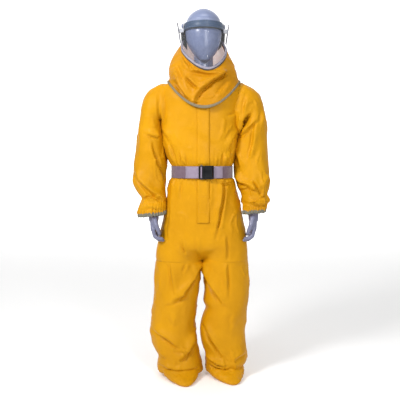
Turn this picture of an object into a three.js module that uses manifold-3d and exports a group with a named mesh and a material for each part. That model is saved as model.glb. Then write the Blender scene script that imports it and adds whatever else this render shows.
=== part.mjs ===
// Chemical protective suit on its display form: a one-piece coverall with bootees, a waist belt with a
// side-release buckle, and a hood made of a helmet, a tilting visor and a shoulder cape.
//
// Frame: millimetres, +Z up, the front faces -Y, the suit stands on z = 0.
// "right" and "left" are the wearer's, so the right side is at -X.

import * as THREE from 'three';
import { mergeVertices } from 'three/addons/utils/BufferGeometryUtils.js';
import Module from 'manifold-3d';

const wasm = await Module();
wasm.setup();

// ---------------------------------------------------------------- driving dimensions

const GAP = 0.3; // between pieces that touch
const RUNNING_GAP = 0.5; // round pieces that slide or turn
const CUT_PAST = 0.01; // how far a cut runs past the face it opens

// Coverall, as heights stacked up from the floor
const HEM_Z = 45;
const LEG_LENGTH = 530;
const RISE = 435; // crotch to waist
const BACK_LENGTH = 420; // waist to shoulder
const NECK_SLOPE = 48; // shoulder to the base of the neck
const CROTCH_Z = HEM_Z + LEG_LENGTH;
const WAIST_Z = CROTCH_Z + RISE;
const SHOULDER_Z = WAIST_Z + BACK_LENGTH;
const NECK_BASE_Z = SHOULDER_Z + NECK_SLOPE;
const HIP_HALF = 224;
const WAIST_HALF = 148;
const CHEST_HALF = 186;
const SHOULDER_HALF = 200;
const BODY_X = 5; // the drape hangs a little to the wearer's left
const FRONT_Y = -122; // the flat strip down the front that carries the zip
const BACK_Y = 122;
const WAIST_BACK = BACK_Y - 10;
const BODY_POWER = 2.4; // how square the body's outline is

// Legs and feet
const LEG_HALF = HIP_HALF / 2 - 2;
const LEG_DEPTH = 98;
const LEG_SPREAD = LEG_HALF + 8;
const FOOT_X = LEG_SPREAD - 7;
const TOE_Y = -184;
const HEEL_Y = 88;
const SOLE_HALF = 62;
const BOOTEE_HALF = LEG_HALF - 20;

// Sleeves, cuffs and hands
const ARM_ROOT = Math.max(SHOULDER_HALF, CHEST_HALF + 14, HIP_HALF - 24); // clears the widest part beside it
const SLEEVE_LENGTH = 608;
const SLEEVE_HALF = 80;
const SLEEVE_DEPTH = 78;
const CUFF_Z = SHOULDER_Z - SLEEVE_LENGTH;
const CUFF_HALF = 38;
const CUFF_HEIGHT = 14;
const CUFF_WALL = 4;
const WRIST_RADIUS = 27;
const HAND_CURL = 18;

// Front closure
const FLAP_X = 11;
const FLAP_WIDTH = 64;
const FLAP_STAND = 7;
const FLAP_WALL = 1.5;
const FLAP_BOTTOM_Z = WAIST_Z - 244;
const FLAP_TOP_Z = SHOULDER_Z - 34;
const ZIP_TAPE_WIDTH = 14;
const ZIP_TAPE_WALL = 1.2;
const ZIP_SLIDER_SIZE = [9, 3.2, 13];

// Belt and buckle
const BELT_WIDTH = 58;
const BELT_WALL = 2.4;
const BELT_EASE = 1.2; // round the waist, for the flat facets on either side
const BELT_LAYER_WIDTH = BELT_WIDTH - 2; // the second layer shows the first one's edges
const BELT_TAIL_X = -71;
const BELT_FOLD_X = 100;
const BUCKLE_X = 25;
const BUCKLE_LENGTH = 70;
const BUCKLE_HEIGHT = BELT_WIDTH + 6;
const BUCKLE_DEPTH = 12;
const BUCKLE_WALL = 2.2;

// Display form
const NECK_LENGTH = 63; // neck base to chin
const HEAD_HEIGHT = 240;
const CHIN_Z = NECK_BASE_Z + NECK_LENGTH;
const HEAD_TOP_Z = CHIN_Z + HEAD_HEIGHT;
const HEAD_X = 12;
const HEAD_YAW = THREE.MathUtils.degToRad(8);
const HEAD_HALF = 88;
const HEAD_DEPTH = 92;
const NECK_RADIUS = 52;
const NECK_Y = 14;
const COLLAR_HEIGHT = 34;
const COLLAR_WALL = 3;
const COLLAR_EASE = 2;

// Helmet
const DOME_TOP_Z = HEAD_TOP_Z + 28;
const BAND_TOP_Z = HEAD_TOP_Z - 45;
const BAND_HEIGHT = 33;
const BAND_BOTTOM_Z = BAND_TOP_Z - BAND_HEIGHT;
const BAND_HALF = HEAD_HALF + 10;
const BAND_FRONT = HEAD_DEPTH + 12;
const BAND_BACK = HEAD_DEPTH + 16;
const BAND_WALL = 3.2;
const BAND_LIP = 7;
const BAND_SIDES = 36;
const DOME_HALF = BAND_HALF - 14;
const DOME_DEPTH = BAND_FRONT - 8;
const DOME_WALL = 3;
const DOME_SIDES = 24;
const HEADBAND_HEIGHT = 20;
const HEADBAND_WALL = 1.5;
const STRAP_WALL = 1.5;

// Visor pivots
const PIVOT_Z = BAND_TOP_Z - 14;
const KNOB_SHAFT = 4;
const KNOB_RADIUS = 10;
const KNOB_HEAD = 6;
const BRACKET_WALL = 3;
const BRACKET_INNER = BAND_HALF + GAP + 0.4;

// Visor, seal ring and cape
const RING_FRONT_Z = NECK_BASE_Z + 12;
const RING_BACK_Z = BAND_BOTTOM_Z - 7;
const TEMPLE_RISE = 14;
const RING_HALF = HEAD_HALF + 25;
const RING_HALF_TEMPLE = HEAD_HALF + 14;
const RING_FRONT = HEAD_DEPTH + 46;
const RING_BACK = HEAD_DEPTH + 19;
const RING_WALL = 9;
const RING_HEIGHT = 12;
const RING_OVERHANG = 1; // past the cape's edge
const CLAMP_HEIGHT = 4;
const RING_WRAP = THREE.MathUtils.degToRad(104);
const VISOR_HALF_TOP = BAND_HALF + 31;
const VISOR_HALF_BOTTOM = RING_HALF + 1;
const VISOR_FRONT_TOP = BAND_FRONT + 46;
const VISOR_FRONT_BOTTOM = RING_FRONT + 1;
const VISOR_BACK = 100;
const VISOR_TOP_Z = BAND_TOP_Z + 1;
const VISOR_WALL = 2;
const VISOR_WRAP = THREE.MathUtils.degToRad(93);
const SEAL_WALL = 4;
const SEAL_Y = 34;
const CAPE_HEM_FRONT_Z = SHOULDER_Z - 116;
const CAPE_HEM_SIDE_Z = SHOULDER_Z + 15.5;
const CAPE_HEM_BACK_Z = SHOULDER_Z - 94;
const CAPE_HEM_X = 14;
const CAPE_HEM_HALF = SHOULDER_HALF - 22;
const CAPE_HEM_FRONT = 20 - FRONT_Y;
const CAPE_HEM_BACK = BACK_Y + 16;
const CAPE_WALL = 4;
const CAPE_BULGE = 26;
const HEM_TAPE_HEIGHT = 13;
const HEM_TAPE_WALL = 2.4;
const HEM_TAPE_OVERHANG = 0.6;
const LINING_GAP = 3;
const LINING_WALL = 1.6;

// ---------------------------------------------------------------- materials

const paint = (color, roughness, metalness = 0, opacity = 1) => new THREE.MeshStandardMaterial({
  color,
  roughness,
  metalness,
  opacity,
  transparent: opacity < 1,
});
const suitFabric = paint(0xf3a81a, 0.62);
const bindingTape = paint(0x968c78, 0.8);
const elasticKnit = paint(0x7d7a68, 0.85);
const liningFabric = paint(0xe4d6d2, 0.9);
const webbing = paint(0x9c8799, 0.75);
const blackPlastic = paint(0x101418, 0.45);
const helmetPlastic = paint(0x8c97ad, 0.35);
const bandPlastic = paint(0x4f6478, 0.4);
const sealRubber = paint(0x47483f, 0.8);
const ringRubber = paint(0x9c97a4, 0.55);
const clearPlastic = paint(0xe9eef2, 0.06, 0, 0.25);
const bracketPlastic = paint(0xd9dade, 0.3);
const zipMetal = paint(0xb8b4a8, 0.35, 0.9);
const formGloss = paint(0x7f88a6, 0.25);

// ---------------------------------------------------------------- geometry helpers

const group = new THREE.Group();
const headGroup = new THREE.Group();
headGroup.position.set(HEAD_X, 0, 0);
headGroup.rotation.z = HEAD_YAW;
group.add(headGroup);

const vec = (x, y, z) => new THREE.Vector3(x, y, z);
const mix = THREE.MathUtils.lerp;
const smooth = THREE.MathUtils.smoothstep;

/** Add a geometry to a parent as a named mesh. */
function piece(name, geometry, material, parent = group) {
  const mesh = new THREE.Mesh(geometry, material);
  mesh.name = name;
  parent.add(mesh);
  return mesh;
}

/** The signed volume of an indexed triangle list. */
function signedVolume(points, triangles) {
  const cross = new THREE.Vector3();
  let volume = 0;
  for (let i = 0; i < triangles.length; i += 3) {
    const [a, b, c] = [points[triangles[i]], points[triangles[i + 1]], points[triangles[i + 2]]];
    volume += cross.crossVectors(a, b).dot(c) / 6;
  }
  return volume;
}

/** A geometry from points and triangles, turned so that its faces point out. */
function closedGeometry(points, triangles) {
  const flip = signedVolume(points, triangles) < 0;
  const index = [];
  for (let i = 0; i < triangles.length; i += 3) {
    const [a, b, c] = triangles.slice(i, i + 3);
    index.push(a, flip ? c : b, flip ? b : c);
  }
  const geometry = new THREE.BufferGeometry();
  geometry.setAttribute('position', new THREE.Float32BufferAttribute(points.flatMap((p) => p.toArray()), 3));
  geometry.setIndex(index);
  return geometry;
}

/**
 * The closed surface through a row of sections, each a closed polygon with the same number of points.
 * A closed row joins its last section to its first; an open one is capped at both ends.
 */
function skin(sections, closed = false) {
  const n = sections[0].length;
  const points = sections.flat();
  const triangles = [];
  const rows = closed ? sections.length : sections.length - 1;
  for (let i = 0; i < rows; i += 1) {
    const next = (i + 1) % sections.length;
    for (let j = 0; j < n; j += 1) {
      const [a, b] = [i * n + j, i * n + ((j + 1) % n)];
      const [c, d] = [next * n + j, next * n + ((j + 1) % n)];
      triangles.push(a, b, c, b, d, c);
    }
  }
  if (!closed) {
    const cap = (row, reverse) => {
      const centre = points.length;
      points.push(sections[row].reduce((sum, p) => sum.add(p), vec(0, 0, 0)).divideScalar(n));
      for (let j = 0; j < n; j += 1) {
        const [a, b] = [row * n + j, row * n + ((j + 1) % n)];
        triangles.push(centre, reverse ? a : b, reverse ? b : a);
      }
    };
    cap(0, false);
    cap(sections.length - 1, true);
  }
  return closedGeometry(points, triangles);
}

/** A point of a rounded rectangle: power 2 is an ellipse and more is squarer. Angle 0 is the front. */
function oval(angle, half, front, back, power = 2) {
  const [s, c] = [Math.sin(angle), Math.cos(angle)];
  const bend = (value) => Math.sign(value) * Math.abs(value) ** (2 / power);
  return [half * bend(s), (c > 0 ? -front : -back) * bend(c)];
}

/** A level section round the Z axis. */
function levelSection({ z, x = 0, y = 0, half, front, back = front, power = 2, count = 24 }) {
  return Array.from({ length: count }, (_, i) => {
    const [px, py] = oval((i / count) * 2 * Math.PI, half, front, back, power);
    return vec(x + px, y + py, z);
  });
}

/** Angles spread evenly from one value to another, both included. */
const spread = (from, to, count) => Array.from({ length: count }, (_, i) => mix(from, to, i / (count - 1)));
const roundAngles = (count) => spread(0, 2 * Math.PI, count + 1).slice(0, -1);

const asSolid = (geometry) => {
  const bare = new THREE.BufferGeometry();
  bare.setAttribute('position', geometry.getAttribute('position').clone());
  if (geometry.index) bare.setIndex(geometry.index.clone());
  const merged = mergeVertices(bare, 1e-4);
  return new wasm.Manifold(new wasm.Mesh({
    numProp: 3,
    vertProperties: new Float32Array(merged.getAttribute('position').array),
    triVerts: new Uint32Array(merged.index.array),
  }));
};

const asGeometry = (solid) => {
  const mesh = solid.getMesh();
  const geometry = new THREE.BufferGeometry();
  geometry.setAttribute('position', new THREE.BufferAttribute(new Float32Array(mesh.vertProperties), 3));
  geometry.setIndex(new THREE.BufferAttribute(new Uint32Array(mesh.triVerts), 1));
  return geometry;
};

/** A box between two corners. */
function block([x0, y0, z0], [x1, y1, z1]) {
  const geometry = new THREE.BoxGeometry(x1 - x0, y1 - y0, z1 - z0);
  return geometry.translate((x0 + x1) / 2, (y0 + y1) / 2, (z0 + z1) / 2);
}

/** A cylinder along X between two places. */
function barAlongX(x0, x1, y, z, radius, sides = 20) {
  const geometry = new THREE.CylinderGeometry(radius, radius, Math.abs(x1 - x0), sides);
  return geometry.rotateZ(Math.PI / 2).translate((x0 + x1) / 2, y, z);
}

/** A capsule from one point to another. */
function capsule(from, to, radius) {
  const along = to.clone().sub(from);
  const geometry = new THREE.CapsuleGeometry(radius, along.length(), 1, 6);
  geometry.applyQuaternion(new THREE.Quaternion().setFromUnitVectors(vec(0, 1, 0), along.normalize()));
  return geometry.translate(...from.clone().add(to).multiplyScalar(0.5).toArray());
}

const unite = (geometries) => geometries.map(asSolid).reduce((sum, solid) => sum.add(solid));

// ---------------------------------------------------------------- coverall

/** The coverall's body from the crotch to the neck base, filled by the form that it hangs on. */
function coverallBody() {
  const levels = [
    { z: CROTCH_Z, half: HIP_HALF, front: 116 },
    { z: mix(CROTCH_Z, WAIST_Z, 0.15), half: HIP_HALF - 2, front: -FRONT_Y },
    { z: mix(CROTCH_Z, WAIST_Z, 0.42), half: HIP_HALF - 26, front: -FRONT_Y },
    { z: mix(CROTCH_Z, WAIST_Z, 0.64), half: HIP_HALF - 46, front: -FRONT_Y },
    { z: mix(CROTCH_Z, WAIST_Z, 0.82), half: WAIST_HALF + 17, front: -FRONT_Y },
    { z: WAIST_Z - BELT_WIDTH / 2 - 14, half: WAIST_HALF + 8, front: -FRONT_Y },
    { z: WAIST_Z - BELT_WIDTH / 2 - 2, half: WAIST_HALF, front: -FRONT_Y, back: WAIST_BACK },
    { z: WAIST_Z + BELT_WIDTH / 2 + 2, half: WAIST_HALF, front: -FRONT_Y, back: WAIST_BACK },
    { z: WAIST_Z + BELT_WIDTH / 2 + 14, half: WAIST_HALF + 8, front: -FRONT_Y },
    { z: mix(WAIST_Z, SHOULDER_Z, 0.26), half: mix(WAIST_HALF, CHEST_HALF, 0.54), front: -FRONT_Y },
    { z: mix(WAIST_Z, SHOULDER_Z, 0.48), half: CHEST_HALF, front: -FRONT_Y },
    { z: mix(WAIST_Z, SHOULDER_Z, 0.74), half: mix(CHEST_HALF, SHOULDER_HALF, 0.5), front: -FRONT_Y },
    { z: FLAP_TOP_Z + 4, half: SHOULDER_HALF, front: -FRONT_Y, back: BACK_Y - 8, power: 2.1 },
    { z: SHOULDER_Z, half: SHOULDER_HALF - 6, front: 88, back: 98, power: 2 },
    { z: mix(SHOULDER_Z, NECK_BASE_Z, 0.35), half: SHOULDER_HALF - 44, front: 76, back: 86, power: 2 },
    { z: mix(SHOULDER_Z, NECK_BASE_Z, 0.65), half: SHOULDER_HALF - 96, front: 70, back: 80, power: 2 },
    { z: NECK_BASE_Z, half: 76, front: 66, back: 76, power: 2 },
  ];
  return skin(levels.map((level) => levelSection({ x: BODY_X, back: BACK_Y, power: BODY_POWER, ...level })));
}

/** One sleeve: it leaves the armhole sideways, hangs down, puffs at the elbow and closes on the cuff. */
function sleeve(side, { cuffX, cuffY, upperX, upperHalf, elbowX, puffX, puffHalf, dip }) {
  const armhole = SHOULDER_HALF - 2;
  const top = SHOULDER_Z + 8;
  const stations = [
    { at: [armhole, 0, top - 94], half: 94, depth: 74, lean: 87 },
    { at: [armhole + 26, 0, top - 110], half: 82, depth: 78, lean: 66 },
    { at: [armhole + 51, 2, top - 146], half: 58, depth: 80, lean: 30 },
    { at: [upperX, 6, mix(top, CUFF_Z, 0.34)], half: upperHalf, depth: SLEEVE_DEPTH, lean: 6 },
    { at: [elbowX, 10, mix(top, CUFF_Z, 0.56)], half: SLEEVE_HALF - 4, depth: SLEEVE_DEPTH, lean: 0 },
    { at: [elbowX + 2, 6, mix(top, CUFF_Z, 0.7)], half: SLEEVE_HALF, depth: SLEEVE_DEPTH, lean: -4 },
    { at: [mix(elbowX, puffX, 0.5), -4, mix(top, CUFF_Z, 0.82)], half: SLEEVE_HALF - 8, depth: 70, lean: -6 },
    { at: [mix(elbowX, puffX, 0.8), -14, mix(top, CUFF_Z, 0.91)], half: puffHalf - dip, depth: 62, lean: -4 },
    { at: [puffX, mix(cuffY, -14, 0.4), CUFF_Z + 42], half: puffHalf, depth: 64, lean: 0 },
    { at: [mix(puffX, cuffX, 0.4), cuffY, CUFF_Z + 20], half: puffHalf - 8, depth: 58, lean: 0 },
    { at: [cuffX, cuffY, CUFF_Z + GAP], half: CUFF_HALF + 8, depth: CUFF_HALF + 4, lean: 0 },
  ];
  const sections = stations.map(({ at: [x, y, z], half, depth, lean }) => {
    const tilt = THREE.MathUtils.degToRad(lean);
    return roundAngles(20).map((angle) => {
      const [across, along] = oval(angle, half, depth, depth);
      return vec(BODY_X + side * (x + across * Math.cos(tilt)), y + along, z + across * Math.sin(tilt));
    });
  });
  return skin(sections);
}

/** The elastic cuff, a short band round the wrist. */
function cuffBand(side, { cuffX, cuffY }) {
  const sections = roundAngles(20).map((angle) => {
    const [ox, oy] = oval(angle, CUFF_HALF, CUFF_HALF - 3, CUFF_HALF - 3);
    const [ix, iy] = oval(angle, CUFF_HALF - CUFF_WALL, CUFF_HALF - 3 - CUFF_WALL, CUFF_HALF - 3 - CUFF_WALL);
    const bottom = CUFF_Z - CUFF_HEIGHT;
    return [[ox, oy, bottom], [ox, oy, CUFF_Z], [ix, iy, CUFF_Z], [ix, iy, bottom]]
      .map(([x, y, z]) => vec(BODY_X + side * cuffX + x, cuffY + y, z));
  });
  return skin(sections, true);
}

/** One trouser leg from the crotch to its hem. */
function leg(side, { sway, hemHalf, forward }) {
  const top = CROTCH_Z - GAP;
  const stations = [
    { t: 0, x: LEG_SPREAD - 2, y: 2, half: LEG_HALF - 2, depth: LEG_DEPTH + 6 },
    { t: 0.17, x: LEG_SPREAD + sway * 0.4, y: 0, half: LEG_HALF, depth: LEG_DEPTH },
    { t: 0.39, x: LEG_SPREAD + sway * 0.8, y: -6, half: LEG_HALF, depth: LEG_DEPTH - 4 },
    { t: 0.62, x: LEG_SPREAD + sway, y: -4, half: LEG_HALF + 1, depth: LEG_DEPTH - 8 },
    { t: 0.79, x: LEG_SPREAD + sway * 0.5, y: 0, half: LEG_HALF, depth: LEG_DEPTH - 8 },
    { t: 0.91, x: LEG_SPREAD - 8, y: -4, half: hemHalf - 6, depth: LEG_DEPTH - 10 },
    { t: 1, x: FOOT_X, y: -8, half: hemHalf, depth: LEG_DEPTH - 4 },
  ];
  const sections = stations.map(({ t, x, y, half, depth }) => levelSection({
    z: mix(top, HEM_Z, t),
    x: side * x + BODY_X,
    y: y + forward * t,
    half,
    front: depth,
    count: 24,
  }));
  return skin(sections);
}

/** One bootee: the sock that ends the leg, wide under the hem and narrow at the toe. */
function bootee(side, { forward, turn }) {
  const top = HEM_Z - GAP;
  const middle = (TOE_Y + HEEL_Y) / 2;
  const reach = (HEEL_Y - TOE_Y) / 2;
  const stations = [
    { z: 0, half: SOLE_HALF, y: middle, depth: reach - 5 },
    { z: 12, half: SOLE_HALF + 16, y: middle, depth: reach },
    { z: 28, half: BOOTEE_HALF - 4, y: middle + 10, depth: reach - 16 },
    { z: top, half: BOOTEE_HALF, y: middle + 26, depth: reach - 38 },
  ];
  const sections = stations.map(({ depth, ...level }) => levelSection({ ...level, front: depth }));
  return skin(sections).rotateZ(turn).translate(side * FOOT_X + BODY_X, forward, 0);
}

/** The stand collar round the neck, under the cape. */
function collar() {
  const sections = roundAngles(24).map((angle) => {
    const wall = (grow, z) => {
      const radius = NECK_RADIUS + COLLAR_EASE + grow;
      const [x, y] = oval(angle, radius, radius, radius);
      return vec(HEAD_X + x, NECK_Y + y, z);
    };
    const [low, high] = [NECK_BASE_Z + GAP, NECK_BASE_Z + GAP + COLLAR_HEIGHT];
    return [wall(COLLAR_WALL, low), wall(COLLAR_WALL, high), wall(0, high), wall(0, low)];
  });
  return skin(sections, true);
}

// ---------------------------------------------------------------- front closure

/** The storm flap: a shallow channel down the front that covers the zip. */
function stormFlap() {
  const back = FRONT_Y - GAP;
  const shape = new THREE.Shape();
  const half = FLAP_WIDTH / 2;
  shape.moveTo(-half, 0);
  shape.lineTo(-half + 2, -FLAP_STAND);
  shape.lineTo(half - 2, -FLAP_STAND);
  shape.lineTo(half, 0);
  shape.lineTo(half - FLAP_WALL - 2, 0);
  shape.lineTo(half - FLAP_WALL - 3.5, -FLAP_STAND + FLAP_WALL);
  shape.lineTo(-half + FLAP_WALL + 3.5, -FLAP_STAND + FLAP_WALL);
  shape.lineTo(-half + FLAP_WALL + 2, 0);
  shape.closePath();
  const height = FLAP_TOP_Z - FLAP_BOTTOM_Z;
  return new THREE.ExtrudeGeometry(shape, { depth: height, bevelEnabled: false })
    .translate(FLAP_X, back, FLAP_BOTTOM_Z);
}

/** One half of the zip tape, beside the line that the slider runs on. */
function zipTape(side) {
  const [inner, outer] = [side * GAP, side * (GAP + ZIP_TAPE_WIDTH)];
  const back = FRONT_Y - GAP;
  return block(
    [FLAP_X + Math.min(inner, outer), back - ZIP_TAPE_WALL, FLAP_BOTTOM_Z + 6],
    [FLAP_X + Math.max(inner, outer), back, FLAP_TOP_Z - 2],
  );
}

const ZIP_FACE_Y = FRONT_Y - GAP - ZIP_TAPE_WALL - GAP;
const ZIP_CLOSED_Z = FLAP_TOP_Z - 6;

/** The zip slider at the closed end of its travel. */
function zipSlider() {
  const [width, depth, height] = ZIP_SLIDER_SIZE;
  return block(
    [FLAP_X - width / 2, ZIP_FACE_Y - depth, ZIP_CLOSED_Z - height],
    [FLAP_X + width / 2, ZIP_FACE_Y, ZIP_CLOSED_Z],
  );
}

/** The slider's pull tab, lying flat below it. */
function zipPull() {
  const [, depth, height] = ZIP_SLIDER_SIZE;
  const top = ZIP_CLOSED_Z - height - GAP;
  return block([FLAP_X - 3, ZIP_FACE_Y - depth, top - 20], [FLAP_X + 3, ZIP_FACE_Y - depth + 1.4, top]);
}

// ---------------------------------------------------------------- belt and buckle

const BELT_FRONT = -FRONT_Y + GAP + FLAP_STAND + GAP + BELT_EASE;
const BELT_HALF = WAIST_HALF + BELT_EASE;
const BELT_BACK = WAIST_BACK + BELT_EASE;

/** A strip of webbing round the waist between two angles, lying a given distance outside the first layer. */
function beltStrip(from, to, steps, offset, width) {
  const sections = spread(from, to, steps).map((angle) => {
    const corner = (out, z) => {
      const [x, y] = oval(angle, BELT_HALF + out, BELT_FRONT + out, BELT_BACK + out, BODY_POWER);
      return vec(BODY_X + x, y, WAIST_Z + z);
    };
    const half = width / 2;
    const far = offset + BELT_WALL;
    return [corner(offset, -half), corner(far, -half), corner(far, half), corner(offset, half)];
  });
  return skin(sections);
}

/** The angle at which the belt's front passes a given x. */
function beltAngle(x) {
  const share = (x - BODY_X) / BELT_HALF;
  return Math.sign(share) * Math.asin(Math.abs(share) ** (BODY_POWER / 2));
}

const BUCKLE_Y = -BELT_FRONT - GAP - BUCKLE_DEPTH / 2;
const BUCKLE_LEFT = BUCKLE_X - BUCKLE_LENGTH / 2;
const BUCKLE_RIGHT = BUCKLE_X + BUCKLE_LENGTH / 2;
const SOCKET_MOUTH = BUCKLE_X - 7;
const SOCKET_LENGTH = BUCKLE_RIGHT - SOCKET_MOUTH;
const SOCKET_END_WALL = 10;
const PRONG_LENGTH = SOCKET_LENGTH - 16;
const PLUG_HALF = BUCKLE_DEPTH / 2 - BUCKLE_WALL - GAP; // half the plug's thickness inside the socket

const buckleBlock = (x0, x1, halfDepth, z0, z1) => block(
  [x0, BUCKLE_Y - halfDepth, WAIST_Z + z0],
  [x1, BUCKLE_Y + halfDepth, WAIST_Z + z1],
);

/** The socket half: a flat sleeve, open towards the plug and at the sides where the prongs are pressed. */
function buckleSocket() {
  const half = BUCKLE_HEIGHT / 2;
  const inner = BUCKLE_DEPTH / 2 - BUCKLE_WALL;
  const body = asSolid(buckleBlock(SOCKET_MOUTH, BUCKLE_RIGHT, BUCKLE_DEPTH / 2, -half, half));
  const mouth = SOCKET_MOUTH - 1;
  const cavity = asSolid(buckleBlock(mouth, BUCKLE_RIGHT - SOCKET_END_WALL, inner, -half + 7, half - 7));
  const windows = asSolid(buckleBlock(mouth, SOCKET_MOUTH + PRONG_LENGTH, inner, -half - 1, half + 1));
  const loop = asSolid(buckleBlock(BUCKLE_RIGHT - 6.5, BUCKLE_RIGHT - 3, BUCKLE_DEPTH, -half + 6, half - 6));
  return asGeometry(body.subtract(cavity).subtract(windows).subtract(loop));
}

/** The plug half: the adjuster frame with its slot, the crossbar and the middle guide. */
function bucklePlug() {
  const half = BUCKLE_HEIGHT / 2 - 1;
  const frame = asSolid(buckleBlock(BUCKLE_LEFT, SOCKET_MOUTH - GAP, PLUG_HALF, -half, half));
  const slot = asSolid(buckleBlock(BUCKLE_LEFT + 6, BUCKLE_LEFT + 16, BUCKLE_DEPTH, -half + 3, half - 3));
  const guide = asSolid(buckleBlock(SOCKET_MOUTH - 1, BUCKLE_RIGHT - SOCKET_END_WALL - 2, PLUG_HALF, -8, 8));
  return asGeometry(frame.subtract(slot).add(guide));
}

/** One of the plug's two prongs, with the button that shows in the socket's side. */
function buckleProng(up) {
  const span = (near, far) => (up > 0 ? [near, far] : [-far, -near]);
  const [a0, a1] = span(14, 20);
  const [b0, b1] = span(18, BUCKLE_HEIGHT / 2 - 0.5);
  const arm = asSolid(buckleBlock(SOCKET_MOUTH, SOCKET_MOUTH + PRONG_LENGTH, PLUG_HALF, a0, a1));
  const button = asSolid(buckleBlock(SOCKET_MOUTH + 8, SOCKET_MOUTH + PRONG_LENGTH - 3, PLUG_HALF, b0, b1));
  return asGeometry(arm.add(button));
}

/** The turn of webbing round the plug's crossbar, which shows in the slot. */
function beltWrap() {
  const half = BELT_WIDTH / 2 - 1.5;
  return buckleBlock(BUCKLE_LEFT + 7.5, BUCKLE_LEFT + 14.5, PLUG_HALF - 0.8, -half, half);
}

// ---------------------------------------------------------------- hood: ring, cape and lining

/** The height of the cape's top edge at an angle round the head. */
function ringZ(angle) {
  const turn = Math.abs(Math.atan2(Math.sin(angle), Math.cos(angle)));
  const climb = mix(RING_FRONT_Z, RING_BACK_Z, Math.sin(turn / 2) ** 1.45);
  return climb + TEMPLE_RISE * smooth(turn, 1.4, 1.9) * (1 - smooth(turn, 1.9, 3));
}

/** How wide the cape's top edge is at an angle: it draws in behind the temples. */
function ringHalf(angle) {
  const turn = Math.abs(Math.atan2(Math.sin(angle), Math.cos(angle)));
  return mix(RING_HALF, RING_HALF_TEMPLE, smooth(turn, 1.3, 2));
}

/** A point above the cape's top edge, moved in by a distance. */
function ringPoint(angle, inset, rise) {
  const [x, y] = oval(angle, ringHalf(angle) - inset, RING_FRONT - inset, RING_BACK - inset);
  return vec(x, y, ringZ(angle) + rise);
}

const toWorld = (point) => point.clone().applyAxisAngle(vec(0, 0, 1), HEAD_YAW).add(vec(HEAD_X, 0, 0));

/** A point of the cape's hem, moved in by a distance. It hangs low in front and lies on the shoulders. */
function hemPoint(angle, inset, rise) {
  const front = Math.cos(angle) > 0;
  const [x, y] = oval(angle, CAPE_HEM_HALF - inset, CAPE_HEM_FRONT - inset, CAPE_HEM_BACK - inset, 2.4);
  const low = front ? CAPE_HEM_FRONT_Z : CAPE_HEM_BACK_Z;
  const share = (x / (CAPE_HEM_HALF - inset)) ** 2;
  return vec(CAPE_HEM_X + x, y, mix(low, CAPE_HEM_SIDE_Z, share) + rise);
}

/** A point of the cape between its top edge (0) and its hem (1). The right side bulges. */
function capePoint(angle, t, inset) {
  const top = toWorld(ringPoint(angle, inset, 0));
  const bottom = hemPoint(angle, inset, HEM_TAPE_HEIGHT + GAP * 3);
  const point = top.lerp(bottom, t);
  const bulge = CAPE_BULGE * Math.sin(Math.PI * Math.min(1, t * 1.15)) ** 1.2;
  const outward = Math.sin(angle) < 0 ? 1 : 0.35;
  point.x += bulge * outward * Math.sin(angle);
  point.y += (Math.cos(angle) < 0 ? bulge * 0.35 : -bulge * 0.1) * Math.abs(Math.cos(angle));
  return point;
}

/** The shoulder cape. */
function cape() {
  const steps = spread(0, 1, 6);
  const sections = roundAngles(40).map((angle) => [
    ...steps.map((t) => capePoint(angle, t, 0)),
    ...steps.toReversed().map((t) => capePoint(angle, t, CAPE_WALL)),
  ]);
  return skin(sections, true);
}

/** The binding round the cape's hem. */
function capeHemTape() {
  const sections = roundAngles(40).map((angle) => [
    hemPoint(angle, -HEM_TAPE_OVERHANG, 0),
    hemPoint(angle, -HEM_TAPE_OVERHANG, HEM_TAPE_HEIGHT),
    hemPoint(angle, HEM_TAPE_WALL, HEM_TAPE_HEIGHT),
    hemPoint(angle, HEM_TAPE_WALL, 0),
  ]);
  return skin(sections, true);
}

/** The white lining inside the sides and back of the cape. */
function hoodLining() {
  const steps = spread(0.05, 0.5, 4);
  const near = CAPE_WALL + LINING_GAP;
  const sections = spread(1.15, 2 * Math.PI - 1.15, 25).map((angle) => [
    ...steps.map((t) => capePoint(angle, t, near)),
    ...steps.toReversed().map((t) => capePoint(angle, t, near + LINING_WALL)),
  ]);
  return skin(sections);
}

/** A strip along the cape's top edge, from one temple round under the chin to the other. */
function ringStrip(low, high) {
  const inner = RING_WALL - RING_OVERHANG;
  const sections = spread(-RING_WRAP, RING_WRAP, 31).map((angle) => [
    ringPoint(angle, -RING_OVERHANG, low),
    ringPoint(angle, -RING_OVERHANG, high),
    ringPoint(angle, inner, high),
    ringPoint(angle, inner, low),
  ]);
  return skin(sections);
}

const RING_CLEAR = GAP * 4; // upright gap on the ring's slope, so that the true gap stays at least GAP
const CLAMP_LOW = RING_CLEAR;
const CLAMP_HIGH = CLAMP_LOW + CLAMP_HEIGHT;
const RING_LOW = CLAMP_HIGH + RING_CLEAR;
const RING_HIGH = RING_LOW + RING_HEIGHT;

/** The visor's half width at its side, at a height. */
function visorHalfAt(z) {
  const low = ringZ(Math.PI / 2) + RING_HIGH + RING_CLEAR;
  return mix(VISOR_HALF_BOTTOM, VISOR_HALF_TOP, (z - low) / (VISOR_TOP_Z - low));
}

/** The clear visor, a curved sheet that stands on the ring and is wider at the top. */
function visor() {
  const wall = (angle, inset, top) => {
    const half = (top ? VISOR_HALF_TOP : VISOR_HALF_BOTTOM) - inset;
    const front = (top ? VISOR_FRONT_TOP : VISOR_FRONT_BOTTOM) - inset;
    const [x, y] = oval(angle, half, front, VISOR_BACK - inset);
    return vec(x, y, top ? VISOR_TOP_Z : ringZ(angle) + RING_HIGH + RING_CLEAR);
  };
  const sections = spread(-VISOR_WRAP, VISOR_WRAP, 33).map((angle) => [
    wall(angle, 0, false),
    wall(angle, 0, true),
    wall(angle, VISOR_WALL, true),
    wall(angle, VISOR_WALL, false),
  ]);
  return skin(sections);
}

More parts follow.
